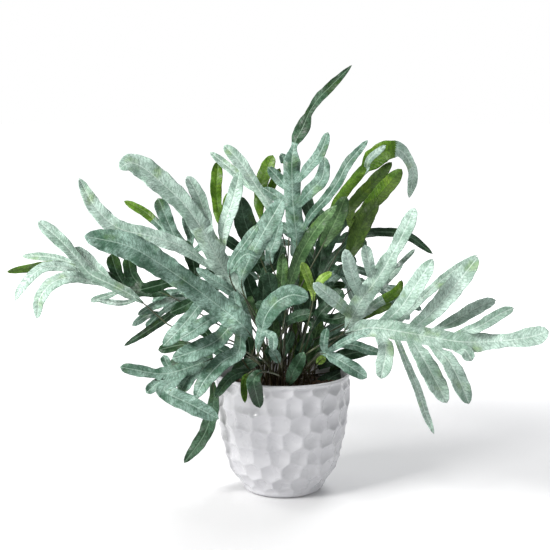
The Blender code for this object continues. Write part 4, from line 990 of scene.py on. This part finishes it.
def leaf_piece(stalk, top, under, patch):
    """The fine blade as one object, its upper face turned up and its underside in its own finish, mostly one
    of the two finishes that hold painted shade.
    """
    sheet = fine_blade(stalk)
    bm = bmesh.new()
    place_layer = bm.loops.layers.uv.new("place")
    corners = [bm.verts.new(spot) for spot in seen(sheet.spots)]
    spans = PATCHES.get(stalk.name, {})
    for ribbon, *face in sheet.faces:
        if len({item[1] for item in face}) < 3:
            continue
        made = bm.faces.new([corners[item[1]] for item in face])
        number = 0 if ribbon is stalk else 1 + stalk.lobes.index(ribbon)
        low, high, side = spans.get(number, (2.0, 2.0, 0.0))
        half, share = (sum(item[2][part] for item in face) / 3 for part in (2, 3))
        if low <= share <= high and side * half >= 0:
            made.material_index = PATCH_FACE
        for loop, item in zip(made.loops, face):
            across, along, *shares = item[2]
            loop[place_layer].uv = (across * UV_SCALE, along * UV_SCALE)
        made.smooth = True
    bmesh.ops.recalc_face_normals(bm, faces=bm.faces)
    facing = sum((face.normal * face.calc_area() for face in bm.faces), Vector())
    if facing.dot(Vector((0.0, -0.35, 0.94))) < 0:
        bmesh.ops.reverse_faces(bm, faces=bm.faces)
    piece = made_of(bm, stalk.name + "_leaf", top, under, patch, under)
    shell = piece.modifiers.new("thickness", "SOLIDIFY")
    shell.thickness = LEAF_THICKNESS * MM
    shell.offset = 0.0
    shell.material_offset = 1
    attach(piece, "root")
    return piece


def infill():
    """Small leaves low in the middle of the plant, on stalks of their own."""
    found = []
    for number, (look, width, *points) in enumerate(INFILL):
        angle = 2.4 * number
        reach = 0.010 + 0.0014 * number
        foot = across_up_front((reach * math.cos(angle), reach * math.sin(angle), SOIL_TOP - 0.004))
        depth = INFILL_DEPTH - 4.0 * (number % 4)
        rib = [(x - PICTURE_MIDDLE, PICTURE_FOOT - y, depth) for x, y in points]
        between = 0.45 * np.array(foot) + 0.55 * np.array(rib[0])
        between[0] = foot[0] + 0.3 * (rib[0][0] - foot[0])
        found.append((look, Stalk("infill_%d" % (number + 1), [foot, tuple(between)], rib, width, 0.0, 0.5,
                                  BLADE_OUTLINE)))
    return found


def stalk_piece(stalk, material):
    """The slim round stalk, from its hole in the soil to a little way up the blade."""
    end = min(1.0, stalk.base + STALK_REACH / stalk.length)
    count = max(12, round(end * stalk.length / 4.0))
    shares = np.linspace(0.0, end, count)
    spots = stalk.place(shares, np.zeros(count))
    grown = np.clip((shares - stalk.base) / max(end - stalk.base, 1e-6), 0.0, 1.0)
    spots[:, 2] -= 0.75 * grown
    line = seen(spots)
    curve = bpy.data.curves.new(stalk.name + "_stalk", "CURVE")
    curve.dimensions = "3D"
    curve.bevel_depth = STALK_RADIUS * MM
    curve.bevel_resolution = 3
    curve.use_fill_caps = True
    spline = curve.splines.new("POLY")
    spline.points.add(count - 1)
    for k, (point, spot) in enumerate(zip(spline.points, line)):
        point.co = (*spot, 1.0)
        point.radius = 1.0 - (1.0 - STALK_TIP_RADIUS) * min(1.0, shares[k] / stalk.base)
        if grown[k] > 0.0:
            point.radius = STALK_TIP_RADIUS * (1.0 - 0.7 * grown[k])
    piece = bpy.data.objects.new(stalk.name + "_stalk", curve)
    piece.data.materials.append(material)
    bpy.context.scene.collection.objects.link(piece)
    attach(piece, "root")
    return piece


def made_of(bm, name, *materials):
    """The finished bmesh as an object of that name, in the scene, with its materials."""
    mesh = bpy.data.meshes.new(name)
    bm.to_mesh(mesh)
    bm.free()
    for material in materials:
        mesh.materials.append(material)
    piece = bpy.data.objects.new(name, mesh)
    bpy.context.scene.collection.objects.link(piece)
    return piece


def circle(bm, height, radius, steps):
    """A ring of vertices round the pot's axis. The radius is one number, or one for each vertex."""
    turns = 2 * math.pi * np.arange(steps) / steps
    radii = np.broadcast_to(radius, steps)
    return [bm.verts.new((r * math.cos(a), r * math.sin(a), height)) for r, a in zip(radii, turns)]


def join_rings(bm, rings):
    """Faces between each ring and the next."""
    for one, two in zip(rings, rings[1:]):
        for k, k_next in zip(range(len(one)), [*range(1, len(one)), 0]):
            bm.faces.new((one[k], one[k_next], two[k_next], two[k]))


class Nodes:
    """Short calls for building a material's nodes."""

    def __init__(self, name):
        self.material = bpy.data.materials.new(name)
        self.material.use_nodes = True
        self.tree = self.material.node_tree
        self.shader = self.tree.nodes["Principled BSDF"]

    def add(self, kind, **values):
        node = self.tree.nodes.new(kind)
        for key, value in values.items():
            setattr(node, key, value)
        return node

    def set(self, name, value):
        self.shader.inputs[name].default_value = value

    def link(self, start, end):
        self.tree.links.new(start, end)

    def maths(self, operation, one, two=None):
        node = self.add("ShaderNodeMath", operation=operation)
        for socket, value in zip(node.inputs, (one, two)):
            if value is None:
                continue
            if isinstance(value, (int, float)):
                socket.default_value = value
            else:
                self.link(value, socket)
        return node.outputs[0]

    def spread(self, value, low, high, start=0.0, end=1.0):
        node = self.add("ShaderNodeMapRange", interpolation_type="SMOOTHSTEP")
        self.link(value, node.inputs["Value"])
        for name, number in (("From Min", low), ("From Max", high), ("To Min", start), ("To Max", end)):
            node.inputs[name].default_value = number
        return node.outputs["Result"]

    def noise(self, vector, scale, detail=3.0, roughness=0.5):
        node = self.add("ShaderNodeTexNoise")
        node.inputs["Scale"].default_value = scale
        node.inputs["Detail"].default_value = detail
        node.inputs["Roughness"].default_value = roughness
        self.link(vector, node.inputs["Vector"])
        return node.outputs["Fac"]

    def mix(self, share, one, two):
        node = self.add("ShaderNodeMix", data_type="RGBA")
        self.link(share, node.inputs["Factor"])
        for socket, value in ((node.inputs["A"], one), (node.inputs["B"], two)):
            if isinstance(value, tuple):
                socket.default_value = (*value, 1.0)
            else:
                self.link(value, socket)
        return node.outputs["Result"]

    def bump(self, height, strength, distance, normal=None):
        node = self.add("ShaderNodeBump")
        node.inputs["Strength"].default_value = strength
        node.inputs["Distance"].default_value = distance
        self.link(height, node.inputs["Height"])
        if normal is not None:
            self.link(normal, node.inputs["Normal"])
        return node.outputs["Normal"]


def leaf_material(name, deep, pale, warm, warmth, vein, roughness, bloom=0.5, gloss=0.4):
    """A leaf face: a pale bloom with dark flecks between slanted veins, warm patches, a midrib."""
    n = Nodes(name)
    uv = n.add("ShaderNodeUVMap", uv_map="place")
    parts = n.add("ShaderNodeSeparateXYZ")
    n.link(uv.outputs["UV"], parts.inputs[0])
    across = n.maths("ABSOLUTE", n.maths("MULTIPLY", parts.outputs["X"], 1.0 / UV_SCALE))
    along = n.maths("MULTIPLY", parts.outputs["Y"], 1.0 / UV_SCALE)
    spot = n.add("ShaderNodeTexCoord").outputs["Object"]
    cloud = n.noise(spot, 26.0, 3.0)
    mottle = n.noise(spot, 170.0, 4.0, 0.65)
    speck = n.noise(spot, 560.0, 4.0, 0.65)
    share = n.maths("ADD", n.maths("MULTIPLY", cloud, 0.55), n.maths("MULTIPLY", mottle, 0.45))
    middle = 0.55 - 0.1 * bloom
    colour = n.mix(n.spread(share, middle - 0.11, middle + 0.11), deep, pale)
    patch = n.noise(spot, 42.0, 3.0)
    colour = n.mix(n.spread(patch, 0.64 - 0.2 * warmth, 0.80 - 0.2 * warmth, 0.0, min(1.0, 0.3 + warmth)),
                   colour, warm)
    slant = n.maths("SUBTRACT", along, n.maths("MULTIPLY", across, 0.75))
    phase = n.maths("ADD", slant, n.maths("MULTIPLY", mottle, 2.2))
    ridge = n.maths("ABSOLUTE", n.maths("SINE", n.maths("MULTIPLY", phase, math.pi / 4.6)))
    veins = n.spread(ridge, 0.0, 0.3, 1.0, 0.0)
    lane = n.add("ShaderNodeCombineXYZ")
    n.link(n.maths("MULTIPLY", slant, 0.9), lane.inputs["X"])
    n.link(n.maths("MULTIPLY", across, 0.45), lane.inputs["Y"])
    n.link(n.maths("MULTIPLY", cloud, 9.0), lane.inputs["Z"])
    fleck = n.noise(lane.outputs[0], 0.85, 3.0, 0.7)
    dark = tuple(0.42 * part for part in deep)
    colour = n.mix(n.spread(fleck, 0.52, 0.66, 0.0, 0.55), colour, dark)
    reach = n.spread(across, 0.5, 9.0, 0.38, 0.10)
    colour = n.mix(n.maths("MULTIPLY", veins, reach), colour, dark)
    mesh = n.add("ShaderNodeTexVoronoi", feature="DISTANCE_TO_EDGE")
    mesh.inputs["Scale"].default_value = 0.36
    n.link(lane.outputs[0], mesh.inputs["Vector"])
    colour = n.mix(n.spread(mesh.outputs["Distance"], 0.02, 0.14, 0.42, 0.0), colour, dark)
    colour = n.mix(n.spread(across, 0.2, 0.7, 0.5, 0.0), colour, vein)
    colour = n.mix(n.spread(speck, 0.53, 0.66, 0.0, 0.32), colour, dark)
    n.link(colour, n.shader.inputs["Base Color"])
    n.link(n.spread(mottle, 0.3, 0.7, roughness - 0.06, roughness + 0.1), n.shader.inputs["Roughness"])
    n.set("Specular IOR Level", gloss)
    height = n.maths("SUBTRACT", n.maths("MULTIPLY", mottle, 0.7), n.maths("MULTIPLY", veins, 0.5))
    normal = n.bump(height, 0.45, 0.0008)
    n.link(n.bump(speck, 0.15, 0.0003, normal), n.shader.inputs["Normal"])
    return n.material


def stalk_material():
    n = Nodes("stalk_brown_green")
    spot = n.add("ShaderNodeTexCoord").outputs["Object"]
    cloud = n.noise(spot, 60.0, 3.0)
    streak = n.noise(spot, 700.0, 2.0)
    colour = n.mix(n.spread(cloud, 0.35, 0.65), (0.016, 0.020, 0.008), (0.050, 0.062, 0.022))
    parts = n.add("ShaderNodeSeparateXYZ")
    n.link(spot, parts.inputs[0])
    low = n.spread(parts.outputs["Z"], 0.105, 0.150, 0.75, 0.0)
    colour = n.mix(low, colour, (0.040, 0.018, 0.008))
    n.link(colour, n.shader.inputs["Base Color"])
    n.set("Roughness", 0.42)
    n.link(n.bump(streak, 0.2, 0.0003), n.shader.inputs["Normal"])
    return n.material


def glaze_material():
    n = Nodes("white_glaze")
    spot = n.add("ShaderNodeTexCoord").outputs["Object"]
    cloud = n.noise(spot, 18.0, 3.0)
    wave = n.noise(spot, 90.0, 2.0)
    grain = n.noise(spot, 900.0, 2.0)
    colour = n.mix(n.spread(cloud, 0.3, 0.7), (0.545, 0.545, 0.572), (0.595, 0.595, 0.618))
    colour = n.mix(n.spread(grain, 0.72, 0.8, 0.0, 0.15), colour, (0.45, 0.44, 0.44))
    n.link(colour, n.shader.inputs["Base Color"])
    n.link(n.spread(wave, 0.3, 0.7, 0.24, 0.36), n.shader.inputs["Roughness"])
    n.set("Coat Weight", 0.35)
    n.set("Coat Roughness", 0.15)
    normal = n.bump(wave, 0.15, 0.0012)
    n.link(n.bump(grain, 0.04, 0.0002, normal), n.shader.inputs["Normal"])
    return n.material


def soil_material(name, dark, light):
    n = Nodes(name)
    spot = n.add("ShaderNodeTexCoord").outputs["Object"]
    cloud = n.noise(spot, 160.0, 5.0, 0.7)
    grain = n.noise(spot, 900.0, 4.0, 0.7)
    colour = n.mix(n.spread(cloud, 0.35, 0.7), dark, light)
    n.link(colour, n.shader.inputs["Base Color"])
    n.link(n.spread(grain, 0.3, 0.7, 0.8, 0.98), n.shader.inputs["Roughness"])
    n.set("Specular IOR Level", 0.2)
    normal = n.bump(cloud, 0.8, 0.002)
    n.link(n.bump(grain, 0.7, 0.0008, normal), n.shader.inputs["Normal"])
    return n.material


def cell_middles():
    """Angle and height of the middle of every honeycomb cell, the cut row under the lip too."""
    top = POT_HEIGHT - LIP_BAND
    rows = [(RELIEF_FOOT, CELL_ROWS[0][1])] + list(CELL_ROWS) + [(top, CELL_ROWS[-1][1])]
    found = []
    for k, (height, count) in enumerate(rows):
        turn = 0.5 * (k % 2) + 0.08 * math.sin(2.3 * k)
        for cell in range(count):
            found.append((2 * math.pi * (cell + turn) / count, height, k))
    return found


def pot_piece(material):
    """The glazed pot: the honeycomb as soft hollows between raised ridges, lip, inside and base."""
    middles = cell_middles()
    rng = random.Random(5)
    jitter = [(rng.uniform(-0.05, 0.05), rng.uniform(-0.0011, 0.0011)) for each in middles]
    angles = np.array([each[0] + move[0] for each, move in zip(middles, jitter)])
    heights = np.array([each[1] + move[1] for each, move in zip(middles, jitter)])
    radii = np.array([outer_radius(height) for height in heights])
    spots = np.column_stack([radii * np.cos(angles), radii * np.sin(angles), heights])
    top = POT_HEIGHT - LIP_BAND
    start = RELIEF_FOOT * 0.6
    turns = 2 * math.pi * np.arange(POT_STEPS) / POT_STEPS
    bm = bmesh.new()
    rows = []
    for number in range(POT_ROWS + 1):
        height = start + (top + 0.0012 - start) * number / POT_ROWS
        radius = smooth_radius(height)
        here = np.column_stack([radius * np.cos(turns), radius * np.sin(turns), np.full(POT_STEPS, height)])
        gaps = np.linalg.norm(here[:, None, :] - spots[None, :, :], axis=2)
        gaps.sort(axis=1)
        soft = np.log(np.exp(-gaps[:, :4] / CELL_ROUND + gaps[:, :1] / CELL_ROUND).sum(axis=1))
        near = gaps[:, 0] - CELL_ROUND * soft
        hollow = CELL_DEPTH * (1.0 - np.clip(near / CELL_REACH, 0.0, 1.0) ** 2)
        fade = np.clip((height - start) / 0.006, 0.0, 1.0) * np.clip((top + 0.0008 - height) / 0.002, 0.0, 1.0)
        rows.append(circle(bm, height, radius + 0.0002 - hollow * fade, POT_STEPS))

    def plain(height, radius):
        rows.append(circle(bm, height, radius, POT_STEPS))

    rim = smooth_radius(POT_HEIGHT)
    plain(top + 0.0018, rim + 0.0001)
    for share in np.linspace(0.0, 1.0, 7):
        bend = math.pi * share
        plain(POT_HEIGHT - 0.0012 + 0.0012 * math.sin(bend), rim - 0.0014 + 0.0014 * math.cos(bend))
    for height in np.linspace(POT_HEIGHT - 0.004, 0.0145, 24):
        plain(height, smooth_radius(height) - POT_WALL)
    plain(0.0075, smooth_radius(0.010) - POT_WALL - 0.002)
    plain(POT_FLOOR, smooth_radius(0.008) - POT_WALL - 0.006)
    join_rings(bm, rows)
    bm.faces.new(rows[-1])
    foot = [rows[0]]
    for height, radius in ((0.0016, smooth_radius(0.0016)), (0.0003, POT_PROFILE[0][1] + 0.0002),
                           (0.0, POT_PROFILE[0][1] - 0.0012)):
        foot.append(circle(bm, height, radius, POT_STEPS))
    join_rings(bm, foot)
    bm.faces.new(foot[-1])
    bmesh.ops.recalc_face_normals(bm, faces=bm.faces)
    for face in bm.faces:
        face.smooth = len(face.verts) == 4
    piece = made_of(bm, "pot_glazed", material)
    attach(piece, "root")
    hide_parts("pot")
    return piece


def smooth_radius(height):
    """The pot's outer profile, rounded off between its points."""
    total = 0.0
    for share, weight in ((-1.0, 0.25), (0.0, 0.5), (1.0, 0.25)):
        total += weight * outer_radius(min(max(height + share * 0.005, 0.0), POT_HEIGHT))
    return total


def soil_piece(stalks, material, crumb_material):
    """The potting mix: a rough crumbly top over a plain body, and loose crumbs lying on it."""
    rings = 44
    steps = 150
    rim = inner_radius(SOIL_TOP) - SOIL_GAP
    bm = bmesh.new()
    rng = np.random.default_rng(CRUMB_SEED)
    waves = [(rng.uniform(60, 420), rng.uniform(0, 6.28), rng.uniform(0, 6.28)) for k in range(26)]
    centre = bm.verts.new((0.0, 0.0, SOIL_TOP))
    rows = []
    for number in range(1, rings + 1):
        radius = rim * number / rings
        row = []
        for k in range(steps):
            angle = 2 * math.pi * k / steps
            x, y = radius * math.cos(angle), radius * math.sin(angle)
            row.append(bm.verts.new((x, y, SOIL_TOP + soil_rough(x, y, waves))))
        rows.append(row)
    for k in range(steps):
        bm.faces.new((centre, rows[0][k], rows[0][(k + 1) % steps]))
    for height in (SOIL_TOP - 0.004, *INSIDE_HEIGHTS[1:], POT_FLOOR + SOIL_GAP):
        radius = min(smooth_radius(height) - POT_WALL, inner_radius(height)) - SOIL_GAP - 0.0006
        if height < 0.01:
            radius -= 0.004
        rows.append(circle(bm, height, radius, steps))
    join_rings(bm, rows)
    bm.faces.new(rows[-1])
    bmesh.ops.recalc_face_normals(bm, faces=bm.faces)
    piece = made_of(bm, "soil_mix", material)
    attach(piece, "root")
    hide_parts("soil")
    crumbs = bmesh.new()
    feet = [stalk.foot() for stalk in stalks]
    for number in range(CRUMBS):
        radius = (rim - 0.003) * math.sqrt(rng.random())
        angle = 2 * math.pi * rng.random()
        x, y = radius * math.cos(angle), radius * math.sin(angle)
        size = 0.0006 + 0.0017 * rng.random() ** 2.2
        if min(math.hypot(x - foot[0], y - foot[1]) for foot in feet) < size + 0.0012:
            continue
        made = bmesh.ops.create_icosphere(crumbs, subdivisions=1, radius=size)
        stretch = (rng.uniform(0.7, 1.7), rng.uniform(0.7, 1.2), rng.uniform(0.45, 0.8))
        turn = rng.uniform(0, math.pi)
        for vert in made["verts"]:
            wobble = 1.0 + 0.3 * (rng.random() - 0.5)
            px, py, pz = (vert.co[k] * stretch[k] * wobble for k in range(3))
            vert.co = (x + px * math.cos(turn) - py * math.sin(turn),
                       y + px * math.sin(turn) + py * math.cos(turn),
                       SOIL_TOP + soil_rough(x, y, waves) + pz + 0.2 * size)
    loose = made_of(crumbs, "soil_crumbs", crumb_material)
    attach(loose, "root")


def soil_rough(x, y, waves):
    """Height of the soil's rough top above its flat level."""
    total = 0.0
    for scale, turn, phase in waves:
        total += math.sin(scale * (x * math.cos(turn) + y * math.sin(turn)) + phase) / scale
    return 0.016 * total


def stage():
    """A pale floor that fades into a white background, and soft studio light."""
    bpy.ops.mesh.primitive_plane_add(size=30.0, location=(0.0, 0.0, -0.0005))
    floor = bpy.context.object
    floor.name = "floor"
    n = Nodes("floor_white")
    n.set("Base Color", FLOOR_GREY)
    n.set("Roughness", 0.9)
    spot = n.add("ShaderNodeTexCoord").outputs["Object"]
    far = n.add("ShaderNodeVectorMath", operation="LENGTH")
    n.link(spot, far.inputs[0])
    n.set("Emission Color", (1.0, 1.0, 1.0, 1.0))
    n.link(n.spread(far.outputs["Value"], 0.25, 1.3, 0.08, 0.85), n.shader.inputs["Emission Strength"])
    floor.data.materials.append(n.material)
    world = bpy.data.worlds.new("white_room")
    bpy.context.scene.world = world
    world.use_nodes = True
    tree = world.node_tree
    back = tree.nodes["Background"]
    back.inputs["Color"].default_value = (0.96, 0.98, 1.0, 1.0)
    back.inputs["Strength"].default_value = ROOM_LIGHT
    plain = tree.nodes.new("ShaderNodeBackground")
    plain.inputs["Color"].default_value = (1.0, 1.0, 1.0, 1.0)
    path = tree.nodes.new("ShaderNodeLightPath")
    both = tree.nodes.new("ShaderNodeMixShader")
    tree.links.new(path.outputs["Is Camera Ray"], both.inputs["Fac"])
    tree.links.new(back.outputs[0], both.inputs[1])
    tree.links.new(plain.outputs[0], both.inputs[2])
    tree.links.new(both.outputs[0], tree.nodes["World Output"].inputs["Surface"])
    for light in LIGHTS:
        soft_light(*light)


def soft_light(name, spot, size, power, colour):
    """A square lamp that faces the middle of the plant."""
    light = bpy.data.lights.new(name, "AREA")
    light.size = size
    light.energy = power
    light.color = colour
    made = bpy.data.objects.new(name, light)
    made.location = spot
    made.rotation_euler = (LIT_MIDDLE - Vector(spot)).to_track_quat("-Z", "Y").to_euler()
    bpy.context.scene.collection.objects.link(made)


def photograph_camera():
    """The eye that took the photograph, with PICTURE_WIDTH millimetres across at the pot's axis."""
    camera = bpy.data.cameras.new("photograph")
    camera.sensor_width = 36.0
    camera.lens = 36.0 * EYE_DISTANCE / PICTURE_WIDTH
    made = bpy.data.objects.new("photograph", camera)
    made.location = EYE * MM
    made.rotation_euler = (math.pi / 2 - EYE_TILT, 0.0, 0.0)
    bpy.context.scene.collection.objects.link(made)
    bpy.context.scene.camera = made


BLUE = dict(deep=(0.052, 0.128, 0.080), pale=(0.268, 0.412, 0.345), warm=(0.100, 0.200, 0.060), warmth=0.35,
            vein=(0.40, 0.53, 0.45), roughness=0.45)
PALE = dict(deep=(0.240, 0.370, 0.290), pale=(0.480, 0.630, 0.555), warm=(0.20, 0.33, 0.100), warmth=0.35,
            vein=(0.62, 0.73, 0.66), roughness=0.45, bloom=0.7)
# The dark finish: deep green, darkened further with painted shade for leaves that sit in the shade inside and
# behind the plant and low over the soil
DARK = dict(deep=(0.010, 0.036, 0.012), pale=(0.068, 0.142, 0.084), warm=(0.035, 0.085, 0.012), warmth=0.4,
            vein=(0.15, 0.24, 0.16), roughness=0.42, bloom=0.35, gloss=0.22)
MOSS = dict(deep=(0.030, 0.080, 0.024), pale=(0.115, 0.225, 0.085), warm=(0.09, 0.17, 0.020), warmth=0.4,
            vein=(0.18, 0.30, 0.13), roughness=0.42, gloss=0.25)
GREEN = dict(deep=(0.050, 0.125, 0.008), pale=(0.130, 0.260, 0.022), warm=(0.20, 0.30, 0.035), warmth=0.3,
             vein=(0.05, 0.10, 0.010), roughness=0.42, gloss=0.25)
LIME = dict(deep=(0.150, 0.280, 0.030), pale=(0.330, 0.500, 0.110), warm=(0.36, 0.48, 0.12), warmth=0.3,
            vein=(0.40, 0.55, 0.20), roughness=0.42, gloss=0.25)
# The olive finish: the greener tone of an underside, darkened with painted shade, for undersides and for
# leaves low and far back
OLIVE = dict(deep=(0.034, 0.074, 0.010), pale=(0.095, 0.170, 0.026), warm=(0.09, 0.15, 0.012), warmth=0.3,
             vein=(0.02, 0.05, 0.006), roughness=0.45, gloss=0.2)
LOOKS = dict(BLUE=BLUE, PALE=PALE, DARK=DARK, MOSS=MOSS, GREEN=GREEN, LIME=LIME, OLIVE=OLIVE)

# Finish of a frond's upper face, of its underside, and of its patches where they aren't GREEN.
# The other fronds are BLUE over OLIVE. The dark finish and the olive one hold painted shade: the dark one on
# leaves in the shade inside, behind and low in the plant, the olive one mostly on undersides.
FINISH = {
    "PALE OLIVE": "frond_left_upper frond_right_big frond_far_left frond_right_middle frond_back_pale",
    "BLUE OLIVE DARK": "frond_top",
    "GREEN GREEN": "frond_back_yellow frond_back_green leaf_rim_yellow",
    "PALE GREEN": "frond_right_arch",
    "OLIVE GREEN": "frond_right_back",
    "MOSS OLIVE": "frond_green_strap",
    "DARK OLIVE": "frond_dark_star frond_left_strap leaf_left_hanging frond_left_shade frond_left_under "
        "frond_centre_dark frond_centre_right frond_right_inner frond_centre_back frond_left_middle",
    "LIME GREEN": "leaf_centre_yellow leaf_soil_yellow",
    "DARK DARK": "leaf_soil_dark leaf_low_1 leaf_low_4 leaf_low_6 leaf_low_8 leaf_rim_left "
        "leaf_rim_front leaf_rim_middle",
    "BLUE GREEN": "frond_left_back",
    "MOSS DARK": "leaf_low_2 leaf_low_3 leaf_low_5 leaf_low_7",
}

# Stretches in the third finish, where a leaf twists over: for each frond, its own end part (0) or
# a lobe (1, 2 and so on), from and to which share of its length, and which half of it (0 is both)
PATCHES = {
    "frond_right_arch": {0: (0.0, 0.83, 0)},
    "frond_far_left": {4: (0.35, 1.0, 0)},
    "frond_left_back": {1: (0.45, 1.0, 0), 0: (0.0, 0.75, 0)},
    "frond_right_back": {0: (0.80, 1.0, 1)},
    "frond_right_middle": {4: (0.55, 1.0, 0)},
    "frond_top": {0: (0.72, 1.0, 0)},
}

# Small leaves low in the middle: finish, width in millimetres, and the rib's points as the picture
# shows them, from the stalk to the tip
# The dark and olive finishes among them hold painted shade, for the shade low in the middle of the plant
INFILL = (
    ("DARK", 22, (262, 262), (246, 225), (240, 196)),
    ("DARK", 16, (262, 314), (251, 290), (246, 272)),
    ("OLIVE", 18, (345, 262), (362, 225), (378, 198)),
    ("MOSS", 17, (303, 374), (313, 345), (320, 316)),
    ("OLIVE", 14, (345, 324), (365, 312), (392, 304)),
    ("DARK", 13, (318, 368), (345, 355), (375, 350)),
    ("MOSS", 18, (322, 247), (336, 220), (346, 196)),
    ("BLUE", 12, (312, 347), (330, 331), (348, 321)),
    ("MOSS", 12, (281, 302), (282, 275), (283, 253)),
    ("MOSS", 14, (277, 354), (274, 330), (271, 309)),
    ("OLIVE", 12, (293, 374), (294, 345), (296, 316)),
    ("GREEN", 12, (304, 307), (302, 282), (299, 261)),
    ("BLUE", 12, (318, 298), (330, 280), (346, 269)),
    ("DARK", 12, (253, 368), (249, 345), (244, 328)),
    ("BLUE", 13, (242, 364), (222, 351), (206, 345)),
    ("DARK", 13, (311, 232), (308, 205), (304, 188)),
    ("BLUE", 13, (271, 264), (275, 240), (281, 220)),
    ("DARK", 11, (262, 320), (263, 290), (265, 266)),
    ("DARK", 12, (314, 385), (330, 378), (346, 370)),
    ("MOSS", 14, (330, 372), (338, 362), (352, 354)),
)

# Blades that lie narrower here than in the frame: share of the blade's length and of its width
NARROWED = {
    "frond_right_arch": ((0.0, 1.0), (0.15, 0.95), (0.32, 0.9), (0.42, 0.8), (0.52, 0.55), (0.65, 0.42),
                         (0.85, 0.45), (0.95, 0.25), (1.0, 0.05)),
}


def main():
    bpy.context.scene.view_settings.view_transform = "Standard"
    photograph_camera()
    stage()
    looks = {name: leaf_material("leaf_" + name.lower(), **values) for name, values in LOOKS.items()}
    stalks = plant()
    brown = stalk_material()
    finish = {name: look.split() for look, names in FINISH.items() for name in names.split()}
    for stalk in stalks:
        stalk.outline = NARROWED.get(stalk.name, stalk.outline)
        # Undersides default to the olive finish, which holds painted shade
        top, under, *patch = finish.get(stalk.name, ("BLUE", "OLIVE"))
        leaf = leaf_piece(stalk, looks[top], looks[under], looks[patch[0] if patch else "GREEN"])
        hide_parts(stalk.name)
        stalk_piece(stalk, brown)
    for look, stalk in infill():
        # Undersides of the small middle leaves take the dark finish, which holds painted shade
        leaf_piece(stalk, looks[look], looks["DARK"], looks[look])
        stalk_piece(stalk, brown)
    pot_piece(glaze_material())
    soil_piece(stalks, soil_material("soil_dark", (0.012, 0.008, 0.005), (0.045, 0.028, 0.017)),
               soil_material("soil_bark", (0.030, 0.017, 0.009), (0.11, 0.066, 0.036)))


main()
